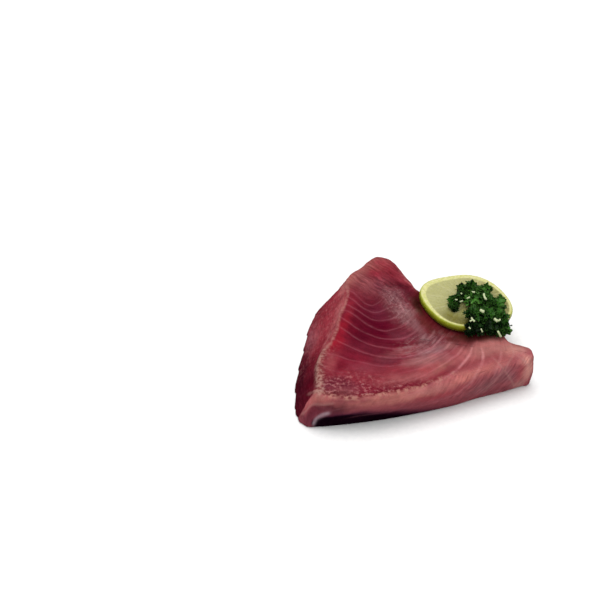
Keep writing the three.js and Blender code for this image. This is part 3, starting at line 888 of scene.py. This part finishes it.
def flesh_relief(body, chart, flakes, strokes, at):
    """How far each point stands out of the plain body."""
    relief = 0.22 * noise(body, 9, 10) + 0.10 * noise(body, 3.2, 11)
    rounded = np.sin(np.pi * flakes.within) ** 2
    relief += (1 - at.left_wall) * flakes.ink * (0.10 * rounded - 0.10 * bell(flakes.gap, 0.6))
    steps = (flakes.within - 0.5) * np.clip(flakes.pitch / 6, 0, 1)
    relief += at.left_wall * 0.12 * steps
    for region, height, turn, cell, seed in FIBRES:
        relief += getattr(at, region) * height * noise(turned(chart, turn), cell, seed)
    for off, strength in (stroke.T for stroke in strokes):
        relief += 0.2 * strength * bell(off, 1.2)
    relief -= FRONT_HOLLOW_DEPTH * at.front * patch_share(chart, *FRONT_HOLLOW)
    relief += 0.05 * noise(body, 1.2, 17)
    under_lime = 1 - smooth_step(0, 3, at.lime_gap)
    return relief * smooth_step(0, 2.5, body[:, 2]) * (1 - 0.8 * under_lime)


def make_steak():
    grid, chart_grid, high_grid, station_grid = steak_rings()
    body, chart = grid.reshape(-1, 3), chart_grid.reshape(-1, 2)
    high, station = high_grid.ravel(), station_grid.ravel()
    x, y = chart.T
    wandering = shaken(chart, LINE_WAVES)
    flakes = flake_pattern(wandering)
    strokes = stroke_pattern(chart, wandering)
    at = flesh_regions(body, chart, wandering, high, station)
    relief = flesh_relief(body, chart, flakes, strokes, at)
    body = body + ring_normals(grid).reshape(-1, 3) * relief[:, None]
    piece = make_mesh("steak_flesh", body, capped_faces(*grid.shape[:2]), flesh_material(),
                      replaces=["steak"])

    # the lines between the flakes end in the front, and are broad towards its right-hand end
    end = 10 + 1.6 * np.maximum(0, -14 - y)
    front_right = smooth_step(0, 20, x) * smooth_step(30, 40, -y)
    faint = ((1 - 0.7 * at.granular) * (1 - 0.6 * at.fibrous) * (1 - 0.75 * at.left)
             * (1 - 0.3 * at.cloudy) * (1 - 0.4 * at.front))
    ink = flakes.ink * (1 - smooth_step(end - 5, end + 3, x)) * faint * (0.7 + 0.4 * front_right)
    grain, upright, show = fibre_pattern(chart, flakes.phase, at)
    none = np.zeros(len(chart))
    add_colour(piece, "tint", flesh_colour(chart, wandering, high, at))
    add_values(piece, phase=flakes.phase, ink=ink, pitch=flakes.pitch / (1 + 0.4 * front_right),
               chart=np.c_[chart, 20 * high], grain=np.c_[grain, none],
               upright=np.c_[upright, y, at.fibrous * at.top],
               regions=np.c_[show, at.granular, at.cloudy],
               **{f"stroke_{i}": np.c_[stroke, none] for i, stroke in enumerate(strokes)})


def flesh_material():
    n = Nodes("tuna_flesh")
    chart, grain, ink = n.vector("chart"), n.vector("grain"), n.value("ink")
    x, y, _ = n.split(chart)
    show, granular, cloudy = n.split(n.vector("regions"))
    base = n.value("tint", "Color")

    # mottling, and the painted sheen: a pale film and wisps, with darker streaks between
    fine = n.noise(chart, 1.3, detail=4, roughness=0.65)
    base = n.scaled(n.ramp(fine, 0.35, 0.7, 0.0, 0.5), base, (1.35, 1.35, 1.35))
    cloud = n.noise(chart, 0.3, detail=4, roughness=0.65)
    base = n.mix(n.times(cloudy, n.ramp(cloud, 0.42, 0.66, 0.0, 0.4)), base, paint(SHEEN_FILM))
    wisps = n.noise(n.place(grain, (0.9, 0.3, 1)), 1.0, detail=3, roughness=0.6)
    base = n.mix(n.times(cloudy, n.ramp(wisps, 0.52, 0.66, 0.0, 0.4)), base, paint(SHEEN_WISP))
    base = n.scaled(n.times(cloudy, n.ramp(wisps, 0.46, 0.34, 0.0, 0.5)), base, (0.55, 0.4, 0.45))

    # fibres that run round the bowl of the flakes, or straight down from the apex
    across, along, straight = n.split(n.vector("upright"))
    down = n.add("ShaderNodeCombineXYZ")
    n.put(n.plus(across, n.times(n.noise(chart, 0.15, detail=1), 3.0)), down.inputs[0])
    n.put(along, down.inputs[1])
    threads = n.noise(n.place(down.outputs[0], (0.62, 0.09, 1)), 1.0, detail=2.5, roughness=0.6)
    bowl = n.noise(n.place(grain, (0.85, 0.11, 1)), 1.0, detail=3.5, roughness=0.6)
    thread = n.between(bowl, threads, straight)
    base = n.scaled(n.times(n.ramp(thread, 0.5, 0.32, 0.0, 0.75), show), base, (0.5, 0.36, 0.42))
    paler = n.scaled(1.0, base, (1.5, 1.5, 1.5))
    paler = n.mix(1.0, paler, (0.02, 0.005, 0.007, 1), "ADD")
    base = n.mix(n.times(n.ramp(thread, 0.5, 0.7, 0.0, 0.7), show), base, paler)

    # grains of fat in clusters, pale with painted wet glints
    crumb = n.noise(chart, 0.5, detail=4, roughness=0.62)
    cluster = n.ramp(n.noise(chart, 0.16, detail=2), 0.36, 0.6, 0.35, 1.0)
    base = n.scaled(n.times(granular, n.ramp(crumb, 0.5, 0.36, 0.0, 0.6)), base, (0.6, 0.45, 0.5))
    fat = n.times(granular, cluster, n.ramp(crumb, 0.48, 0.66, 0.0, 0.62))
    base = n.mix(fat, base, paint(FAT_AND_GLINT))

    # pale lines between the flakes, with ragged edges
    ragged = n.times(n.minus(n.noise(chart, 1.1, detail=3), 0.5), 0.6)
    share = n.math("ABSOLUTE", n.minus(n.math("FRACT", n.plus(n.value("phase"), 0.5)), 0.5))
    gap = n.plus(n.times(share, n.value("pitch")), ragged)
    broken = n.ramp(n.noise(chart, 0.28, detail=3), 0.3, 0.6, 0.4, 1.0)
    septa = n.times(n.ramp(gap, 0.05, SEPTUM_REACH, 1.0, 0.0), n.times(ink, broken))
    halo = n.times(n.ramp(gap, 0.0, 2.4, 1.0, 0.0), ink)
    base = n.mix(n.times(halo, 0.06), base, paint(HALO))
    towards_end = n.times(n.ramp(x, 8.0, 26.0), n.ramp(y, -18.0, -30.0))
    brighter = n.mix(1.0, base, n.mix(towards_end, TISSUE, TISSUE_RIGHT), "ADD")
    base = n.mix(n.times(septa, 0.85), base, brighter)

    # seam, crest and folds; the crest has pale fat and a painted highlight
    lines = []
    for i in range(len(STROKES)):
        off, strength, _ = n.split(n.vector(f"stroke_{i}"))
        off = n.plus(n.math("ABSOLUTE", off), ragged)
        lines.append(n.times(n.ramp(off, 0.0, 1.8, 1.0, 0.0), strength))
    seam, crest, fold, *others = lines
    for other in others:
        fold = n.math("MAXIMUM", fold, other)
    base = n.mix(n.times(fold, 0.5), base, paint(FOLD))
    grains = n.ramp(crumb, 0.42, 0.58, 0.15, 1.0)
    lower = n.ramp(y, -8.0, -20.0)
    beads = n.between(n.ramp(n.noise(chart, 0.45, detail=3), 0.35, 0.62, 0.3, 1.0), grains, lower)
    cream = n.mix(lower, paint(SEAM_HIGH), paint(SEAM_LOW))
    base = n.mix(n.times(seam, beads, 0.7), base, cream)
    # painted highlight along the crest, beaded with pale fat
    base = n.mix(n.times(crest, n.times(grains, cluster), 0.7), base, paint(CREST_FAT_AND_GLINT))

    # wet surface
    damp = n.noise(chart, 0.5, detail=3)
    rise = n.plus(n.times(fine, 0.5), n.times(crumb, n.times(granular, 0.8)))
    rise = n.plus(rise, n.times(thread, n.times(show, 0.8)))
    n.set(Base_Color=base, Roughness=n.ramp(damp, 0.3, 0.7, 0.3, 0.5), Specular_IOR_Level=0.0,
          Subsurface_Weight=0.12, Subsurface_Radius=(1.0, 0.3, 0.25), Subsurface_Scale=0.0012,
          Normal=n.bump(rise, 0.16))
    return n.material


make_steak()

# ---- Lime slice ----

LIME_SIDES = 320
SEGMENTS = 10
SEGMENT_TURN = 13.0
CORE_RADIUS = 1.6
MEMBRANE = 0.42              # half width of the walls between the wedges
PULP_RADIUS = 21.5           # where the rings for the pulp begin
PULP_EDGE = 21.6             # where the pulp ends, on average; how much farther it
PULP_SHIFT = 1.2             # reaches on the side where the pith is thinnest; that side
PULP_TOWARDS = -80.0
UNDER_SHARES, UNDER_HOLLOW = (0.02, 0.3, 0.6, 0.97), 0.25
# the rind from the under face to the upper: how far inside the radius, and how deep as a
# share of the thickness
RIND = ((0.9, 1), (0.5, 0.95), (0.25, 0.86), (0.1, 0.72), (0, 0.5),
        (0.04, 0.36), (0.12, 0.2), (0.25, 0.1), (0.45, 0.03), (0.75, 0))
PITH_RINGS, PULP_RINGS = 6, 56
SPOKE_CELLS = 26             # juice cells in a radian
SPOKE_LENGTH = 4.2
LIME_SHADE = (-12.0, -15.5, 10.0, 4.6, -48)    # patch of painted shadow of the parsley on the pulp beside it

PULP, PULP_IN_SHADE = (190, 187, 124), (128, 124, 50)
PULP_SHADE_WAY = (0.64, -0.77)         # the way along which the pulp is painted darker, towards the parsley, as painted shade
RAY, DROP, WALL = (204, 200, 146), (150, 146, 76), (212, 206, 150)
PARSLEY_SHADOW_OLIVE = (112, 104, 26)
PITH, PITH_GREEN = (236, 230, 168), (214, 214, 130)
ZEST, ZEST_GREEN, ZEST_IN_SHADE, ZEST_PIT = (180, 186, 44), (158, 166, 26), (98, 92, 10), (120, 130, 20)


def make_lime():
    r, t = LIME_RADIUS, LIME_THICKNESS
    angle = 2 * np.pi * np.arange(LIME_SIDES) / LIME_SIDES
    swell = (1 + LIME_SQUARE * np.cos(4 * (angle - rad(LIME_SQUARE_TURN)))
             + LIME_OVAL * np.cos(2 * angle))

    under = [(share * PULP_RADIUS, -t + UNDER_HOLLOW) for share in UNDER_SHARES]
    under.append((PULP_RADIUS, -t))
    rind = [(r - inside, -t * depth) for inside, depth in RIND]
    pith = [(x, 0.0) for x in np.linspace(r - 1.0, PULP_RADIUS, PITH_RINGS)]
    pulp = [(x, 0.0) for x in np.linspace(PULP_RADIUS - 0.25, 0.3, PULP_RINGS)]
    profile = np.array(under + rind + pith + pulp)
    rings = len(profile)
    radius = profile[:, 0][:, None] * np.ones_like(angle)
    z = profile[:, 1][:, None] * np.ones_like(angle)
    pulp_edge = (PULP_EDGE + PULP_SHIFT * np.cos(angle - rad(PULP_TOWARDS))
                 + 0.12 * np.sin(5 * angle + 1))

    # ten wedges of pulp, held by thin walls that meet at the core
    uneven = 3.0 * np.sin(2 * angle + 0.7) + 2.0 * np.sin(3 * angle + 2)
    wedge = ((np.degrees(angle) - SEGMENT_TURN + uneven) * SEGMENTS / 360) % 1
    from_wall = np.minimum(wedge, 1 - wedge) * 2 * np.pi / SEGMENTS * radius
    on_top = (np.arange(rings) >= len(under) + len(rind) - 1)[:, None]
    in_pulp = on_top * smooth_step(-0.1, 0.7, pulp_edge - radius)
    core = 1 - smooth_step(CORE_RADIUS - 0.5, CORE_RADIUS + 0.5, radius)
    membrane = on_top * np.maximum(bell(from_wall, MEMBRANE), core) * in_pulp
    flat = np.stack([radius * np.cos(angle), radius * np.sin(angle)], -1).reshape(-1, 2)
    spokes = np.c_[np.tile(angle * SPOKE_CELLS, rings), radius.ravel() / SPOKE_LENGTH]
    vesicle = noise(spokes, 1, 31).reshape(radius.shape)
    swollen = 0.22 * smooth_step(0.2, 1.6, from_wall) * (1 - membrane)
    z = z + in_pulp * (swollen - 0.27 + 0.07 * vesicle)
    pores = noise(np.c_[np.tile(angle * r, rings), z.ravel()], 0.7, 32).reshape(radius.shape)
    radius = radius + np.where(radius > r - 0.6, 0.07 * pores, 0)

    grid = np.stack([radius * swell * np.cos(angle), radius * swell * np.sin(angle), z], -1)
    piece = make_mesh("lime_wheel", from_lime(grid.reshape(-1, 3)), capped_faces(rings, LIME_SIDES),
                      lime_material(), replaces=["lime_slice"])
    skin = smooth_step(r - 1.0, r - 0.35, radius) * (z < 0.1)
    add_values(piece, skin=skin.ravel(), flesh=in_pulp.ravel(), membrane=membrane.ravel(),
               shade=0.85 * patch_share(flat, *LIME_SHADE),
               spokes=np.c_[spokes, z.ravel()], disc=np.c_[flat, z.ravel()])


def lime_material():
    n = Nodes("lime")
    disc, spokes = n.vector("disc"), n.vector("spokes")
    flesh, skin = n.value("flesh"), n.value("skin")
    x, y, height = n.split(disc)
    # pulp painted darker across the slice towards the parsley, as its painted shade
    into_shade = n.ramp(n.plus(n.times(x, PULP_SHADE_WAY[0]), n.times(y, PULP_SHADE_WAY[1])), -20.0, 22.0)
    rays = n.noise(n.place(spokes, (1.3, 0.7, 1)), 1.0, detail=3)
    drops = n.cells(n.place(spokes, (0.8, 1.0, 1)), 1.0)
    pulp = n.mix(into_shade, paint(PULP), paint(PULP_IN_SHADE))
    pulp = n.mix(n.ramp(rays, 0.35, 0.7, 0.0, 0.35), pulp, paint(RAY))
    pulp = n.mix(n.ramp(drops, 0.2, 0.7, 0.0, 0.2), pulp, paint(DROP))
    pulp = n.mix(n.times(n.value("membrane"), 0.45), pulp, paint(WALL))
    # the parsley's painted shadow on the pulp
    pulp = n.mix(n.value("shade"), pulp, paint(PARSLEY_SHADOW_OLIVE))
    speckle = n.ramp(n.noise(disc, 0.6, detail=3), 0.35, 0.65)
    face = n.mix(flesh, n.mix(speckle, paint(PITH), paint(PITH_GREEN)), pulp)
    cloud = n.ramp(n.noise(disc, 0.16, detail=3), 0.35, 0.65)
    zest = n.mix(cloud, paint(ZEST), paint(ZEST_GREEN))
    # the rind painted darker towards its under face, as painted shade
    zest = n.mix(n.ramp(height, -3.4, -0.2), paint(ZEST_IN_SHADE), zest)
    pits = n.ramp(n.cells(disc, 1.1), 0.05, 0.4, 1.0, 0.0)
    zest = n.mix(n.times(pits, 0.2), zest, paint(ZEST_PIT))
    damp = n.ramp(n.noise(disc, 0.5, detail=3), 0.35, 0.65, 0.22, 0.42)
    relief = n.plus(n.times(rays, flesh), n.times(n.minus(0.0, pits), skin))
    n.set(Base_Color=n.mix(skin, face, zest), Roughness=damp, Specular_IOR_Level=0.3,
          Subsurface_Weight=0.2, Subsurface_Radius=(1.0, 0.9, 0.35), Subsurface_Scale=0.0016,
          Normal=n.bump(relief, 0.14))
    return n.material


make_lime()

# ---- Parsley ----

# tufts: x, y, height over the lime's face, radius, how light its green is painted: painted light up
# top, painted shade low down
TUFTS = (
    (34.1, 0.1, 2.4, 4.0, 0.6), (31.9, -4.4, 1.6, 3.4, 0.3), (42.1, 7.8, 3.0, 4.8, 0.3),
    (46.8, 9.4, 2.6, 4.0, 0.6), (39.9, 2.9, 2.4, 3.4, 0.0), (48.9, 5.0, 2.6, 3.4, 0.9),
    (54.9, 6.0, 2.5, 3.9, 1.0), (51.5, -0.6, 3.0, 3.6, 0.7), (44.5, 2.5, 2.5, 4.0, 0.4),
    (45.5, -12.0, 3.5, 4.6, 0.5), (42.7, -3.4, 4.5, 5.0, 1.0), (48.5, -6.7, 5.0, 5.0, 0.9),
    (53.8, -9.0, 3.5, 4.9, 1.0), (59.0, -2.6, 1.6, 2.8, 0.9), (37.9, -14.5, 4.5, 5.0, 0.4),
    (43.2, -18.4, 6.0, 5.5, 0.7), (50.4, -18.4, 4.5, 4.7, 1.0), (35.3, -21.1, 2.0, 5.0, -0.6),
    (41.4, -22.6, 2.5, 4.8, -0.3), (47.7, -23.1, 2.5, 4.7, 0.3), (52.7, -22.2, 1.2, 4.2, 0.7),
    (54.5, -17.4, 1.6, 3.5, 0.9), (33.1, -23.4, -0.6, 3.1, -0.7), (39.1, -23.5, -0.6, 3.1, -0.6),
    (44.9, -24.1, -0.4, 3.1, -0.2), (49.8, -25.5, -0.6, 3.2, 0.4), (53.4, -24.4, -0.8, 3.0, 0.7),
)
LEAVES_PER_TUFT = 20
INNER_LEAVES = 4
TUFT_COVER = 1.6             # how far down a tuft its leaves go, 2 being all round
GOLDEN_ANGLE = 2.39996       # between one leaf and the next
LEAF_SIZES = (2.2, 3.4)
LEAF_GROWTH = 0.8            # how much greater leaves may be on light tufts
LEAF_ROOTS = (2.2, 3.0)      # how far inside the tuft's outline a leaf starts
LEAF_SCATTER = 0.55          # of the leaves' directions
INNER_SIZE, INNER_ROOT = 0.8, 0.35   # of leaves that fill the tuft, as shares of its radius
LEAF_ARMS = 17
LEAF_HOOPS = 4
LEAF_SPREAD = 120            # degrees from the middle of a blade to its last arm
LEAF_SKIN = 0.14             # thickness
# pale stalks that show between the leaves, standing also for painted glints on them: start, end,
# radius
STALKS = (
    ((47.7, -5.3, 35.6), (47.3, -9.7, 34.9), 0.6),
    ((39.7, -18.8, 36.6), (41.0, -20.9, 36.7), 0.8),
    ((34.4, -20.5, 33.8), (35.1, -23.5, 33.4), 0.5),
    ((32.8, -22.4, 33.1), (34.6, -22.1, 33.8), 0.45),
    ((46.2, -23.3, 33.1), (47.4, -25.4, 32.8), 0.8),
    ((47.5, -25.2, 32.8), (49.2, -24.3, 32.8), 0.5),
    ((46.8, -28.1, 28.6), (48.6, -29.4, 25.2), 0.6),
    ((35.4, -3.4, 31.0), (37.4, -2.6, 30.5), 0.5),
    ((38.0, -26.1, 30.2), (38.7, -27.0, 28.4), 0.4),
    ((31.8, -24.3, 31.0), (32.4, -25.2, 30.4), 0.4),
    ((41.9, -2.4, 35.6), (43.4, -3.4, 35.8), 0.5), ((38.5, -4.8, 33.6), (39.9, -5.2, 34.6), 0.45),
    ((32.9, -2.4, 32.1), (34.2, -2.8, 32.0), 0.4), ((38.3, 2.4, 31.9), (38.6, 1.5, 31.6), 0.4),
)
STALK_SIDES = 10
# shares of a stalk's length, and its radius there as a share
STALK_PROFILE = ((0, 0.3), (0.03, 0.8), (0.12, 1), (0.4, 0.9), (0.7, 0.95), (0.9, 1.1),
                 (0.97, 0.9), (1, 0.4))
STALK_TONE = 2.0             # those of leaves end at about 1.5

LEAF_DARK, LEAF_LIGHT, LEAF_MOTTLE = (1, 16, 2), (64, 132, 34), (14, 66, 12)
VEIN, FRILL, STALK_AND_GLINT = (104, 156, 76), (112, 160, 76), (206, 218, 170)


def unit(v):
    return v / np.linalg.norm(v)


def make_leaf(rng, size):
    """A curly leaflet, its stalk end at the origin and its blade along +X: points, quads,
    how near its edge each point lies, and how near a vein."""
    frills = rng.uniform(3.5, 5.5)
    start = rng.uniform(0, 2 * np.pi)
    angle = rad(np.linspace(-LEAF_SPREAD, LEAF_SPREAD, LEAF_ARMS))
    share = np.linspace(0.12, 1, LEAF_HOOPS)[:, None]
    teeth = 1 - 0.3 * share ** 3 * (np.arange(LEAF_ARMS) % 2)
    lobes = 0.8 + 0.2 * np.cos(angle * 3) * share
    r = size * share * teeth * lobes * (0.78 + 0.22 * np.cos(angle * 0.6))
    curl = size * 0.3 * share ** 1.5 * np.sin(angle * frills + start)
    cup = size * rng.uniform(-0.1, 0.6) * share ** 2
    blade = np.stack([r * np.cos(angle), r * np.sin(angle), curl + cup], -1)
    normal = ring_normals(blade)
    normal[:, 0], normal[:, -1] = normal[:, 1], normal[:, -2]
    top = (blade + normal * LEAF_SKIN / 2).reshape(-1, 3)
    bottom = (blade - normal * LEAF_SKIN / 2).reshape(-1, 3)
    at = np.arange(LEAF_HOOPS * LEAF_ARMS).reshape(LEAF_HOOPS, LEAF_ARMS)
    up = np.stack([at[:-1, :-1], at[1:, :-1], at[1:, 1:], at[:-1, 1:]], -1).reshape(-1, 4)
    border = [*at[0], *at[1:, -1], *at[-1, -2::-1], *at[-2:0:-1, 0]]
    rim = [(b, a, a + at.size, b + at.size) for a, b in zip(border, border[1:] + border[:1])]
    edge = np.tile((share * np.ones(LEAF_ARMS)).ravel(), 2)
    vein = np.tile((np.maximum(0, np.cos(6 * angle)) * (1 - 0.6 * share)).ravel(), 2)
    under = up[:, (0, 3, 2, 1)] + at.size
    return np.vstack([top, bottom]), np.vstack([up, under, rim]), edge, vein


def axes_along(direction, spin):
    """Three axes as rows: the first along the direction, the others turned about it."""
    side = unit(np.cross(direction, (0.3, 0.2, 1.0)))
    other = np.cross(direction, side)
    c, s = math.cos(spin), math.sin(spin)
    return np.array([direction, side * c + other * s, other * c - side * s])


def make_stalk(start, end, radius):
    """A short round stalk with blunt ends, a little bent."""
    start, end = np.array(start, float), np.array(end, float)
    length = np.linalg.norm(end - start)
    turn = np.arange(STALK_SIDES) / STALK_SIDES * 2 * np.pi
    rings = []
    for share, width in STALK_PROFILE:
        bend = 0.1 * length * math.sin(math.pi * share)
        rings.append(np.c_[np.full(STALK_SIDES, share * length),
                           radius * width * np.cos(turn) + bend, radius * width * np.sin(turn)])
    points = np.vstack(rings) @ axes_along(unit(end - start), 0.0) + start
    return points, capped_faces(len(rings), STALK_SIDES)


def in_lime(place):
    """Whether the place is inside the slice or below it."""
    return from_lime_middle(*place[:2]) < LIME_RADIUS and place[2] < lime_top(*place[:2])


def make_parsley():
    rng = np.random.default_rng(5)
    points, faces, edges, veins, tones = [], [], [], [], []
    total = 0

    def add(blade, quads, edge, vein, tone):
        nonlocal total
        points.append(blade)
        faces.extend([[int(v) + total for v in quad] for quad in quads])
        edges.append(edge)
        veins.append(vein)
        tones.append(np.full(len(blade), tone))
        total += len(blade)

    for x, y, lift, radius, light in TUFTS:
        middle = np.array([x, y, lime_top(x, y) + lift])
        for leaf in range(LEAVES_PER_TUFT):
            rise = 1 - (leaf + 0.5) / LEAVES_PER_TUFT * TUFT_COVER
            around = leaf * GOLDEN_ANGLE + rng.uniform(-0.4, 0.4)
            flat = math.sqrt(max(0, 1 - rise * rise))
            direction = unit(np.array([math.cos(around) * flat, math.sin(around) * flat, rise]))
            size = rng.uniform(LEAF_SIZES[0], LEAF_SIZES[1] + LEAF_GROWTH * light)
            blade, quads, edge, vein = make_leaf(rng, size)
            tilt = unit(direction + rng.normal(0, LEAF_SCATTER, 3))
            root = middle + direction * (radius - rng.uniform(*LEAF_ROOTS))
            blade = blade @ axes_along(tilt, rng.uniform(0, 2 * np.pi)) + root
            if not in_lime(blade.mean(axis=0)):
                # each leaf's tone: at random, with painted light on the lit tufts and painted shade
                # on the low ones
                tone = rng.uniform(0.0, 0.6) * (0.5 + 0.5 * light)
                tone += max(0, light) * rng.uniform(0.0, 0.9) ** 1.4
                add(blade, quads, edge, vein, tone)
        for _ in range(INNER_LEAVES):
            blade, quads, edge, vein = make_leaf(rng, radius * INNER_SIZE)
            tilt = unit(rng.normal(0, 1, 3))
            blade = blade @ axes_along(tilt, 0) + middle - tilt * radius * INNER_ROOT
            # inner leaves are painted in the darkest green, as painted shade inside the tuft
            if not in_lime(blade.mean(axis=0)):
                add(blade, quads, edge * 0.3, vein * 0, 0.0)
    for start, end, radius in STALKS:
        stalk, quads = make_stalk(start, end, radius)
        add(stalk, quads, np.zeros(len(stalk)), np.zeros(len(stalk)), STALK_TONE)
    piece = make_mesh("parsley_sprig", np.vstack(points), faces, parsley_material(),
                      replaces=["parsley"])
    add_values(piece, edge=np.concatenate(edges), vein=np.concatenate(veins),
               tone=np.concatenate(tones))


def parsley_material():
    n = Nodes("parsley_leaf")
    place, tone = n.place(), n.value("tone")
    # the green runs from dark to light by tone, which carries the painted light and shade
    green = n.mix(n.ramp(tone, 0.0, 1.0), paint(LEAF_DARK), paint(LEAF_LIGHT))
    mottle = n.ramp(n.noise(place, 0.7, detail=3), 0.4, 0.7, 0.0, 0.4)
    green = n.mix(mottle, green, paint(LEAF_MOTTLE))
    veins = n.times(n.value("vein"), n.times(tone, 0.8), clamp=True)
    green = n.mix(veins, green, paint(VEIN))
    frills = n.times(n.ramp(n.value("edge"), 0.6, 1.0, 0.0, 0.5), tone, clamp=True)
    green = n.mix(frills, green, paint(FRILL))
    # pale cream stalks: stalk ends, and painted glints among the leaves
    green = n.mix(n.ramp(tone, 1.4, 1.9), green, paint(STALK_AND_GLINT))
    n.set(Base_Color=green, Roughness=0.38, Specular_IOR_Level=0.1,
          Subsurface_Weight=0.08, Subsurface_Radius=(0.4, 1.0, 0.2), Subsurface_Scale=0.0008,
          Normal=n.bump(n.noise(place, 2.0, detail=2), 0.12))
    return n.material


make_parsley()
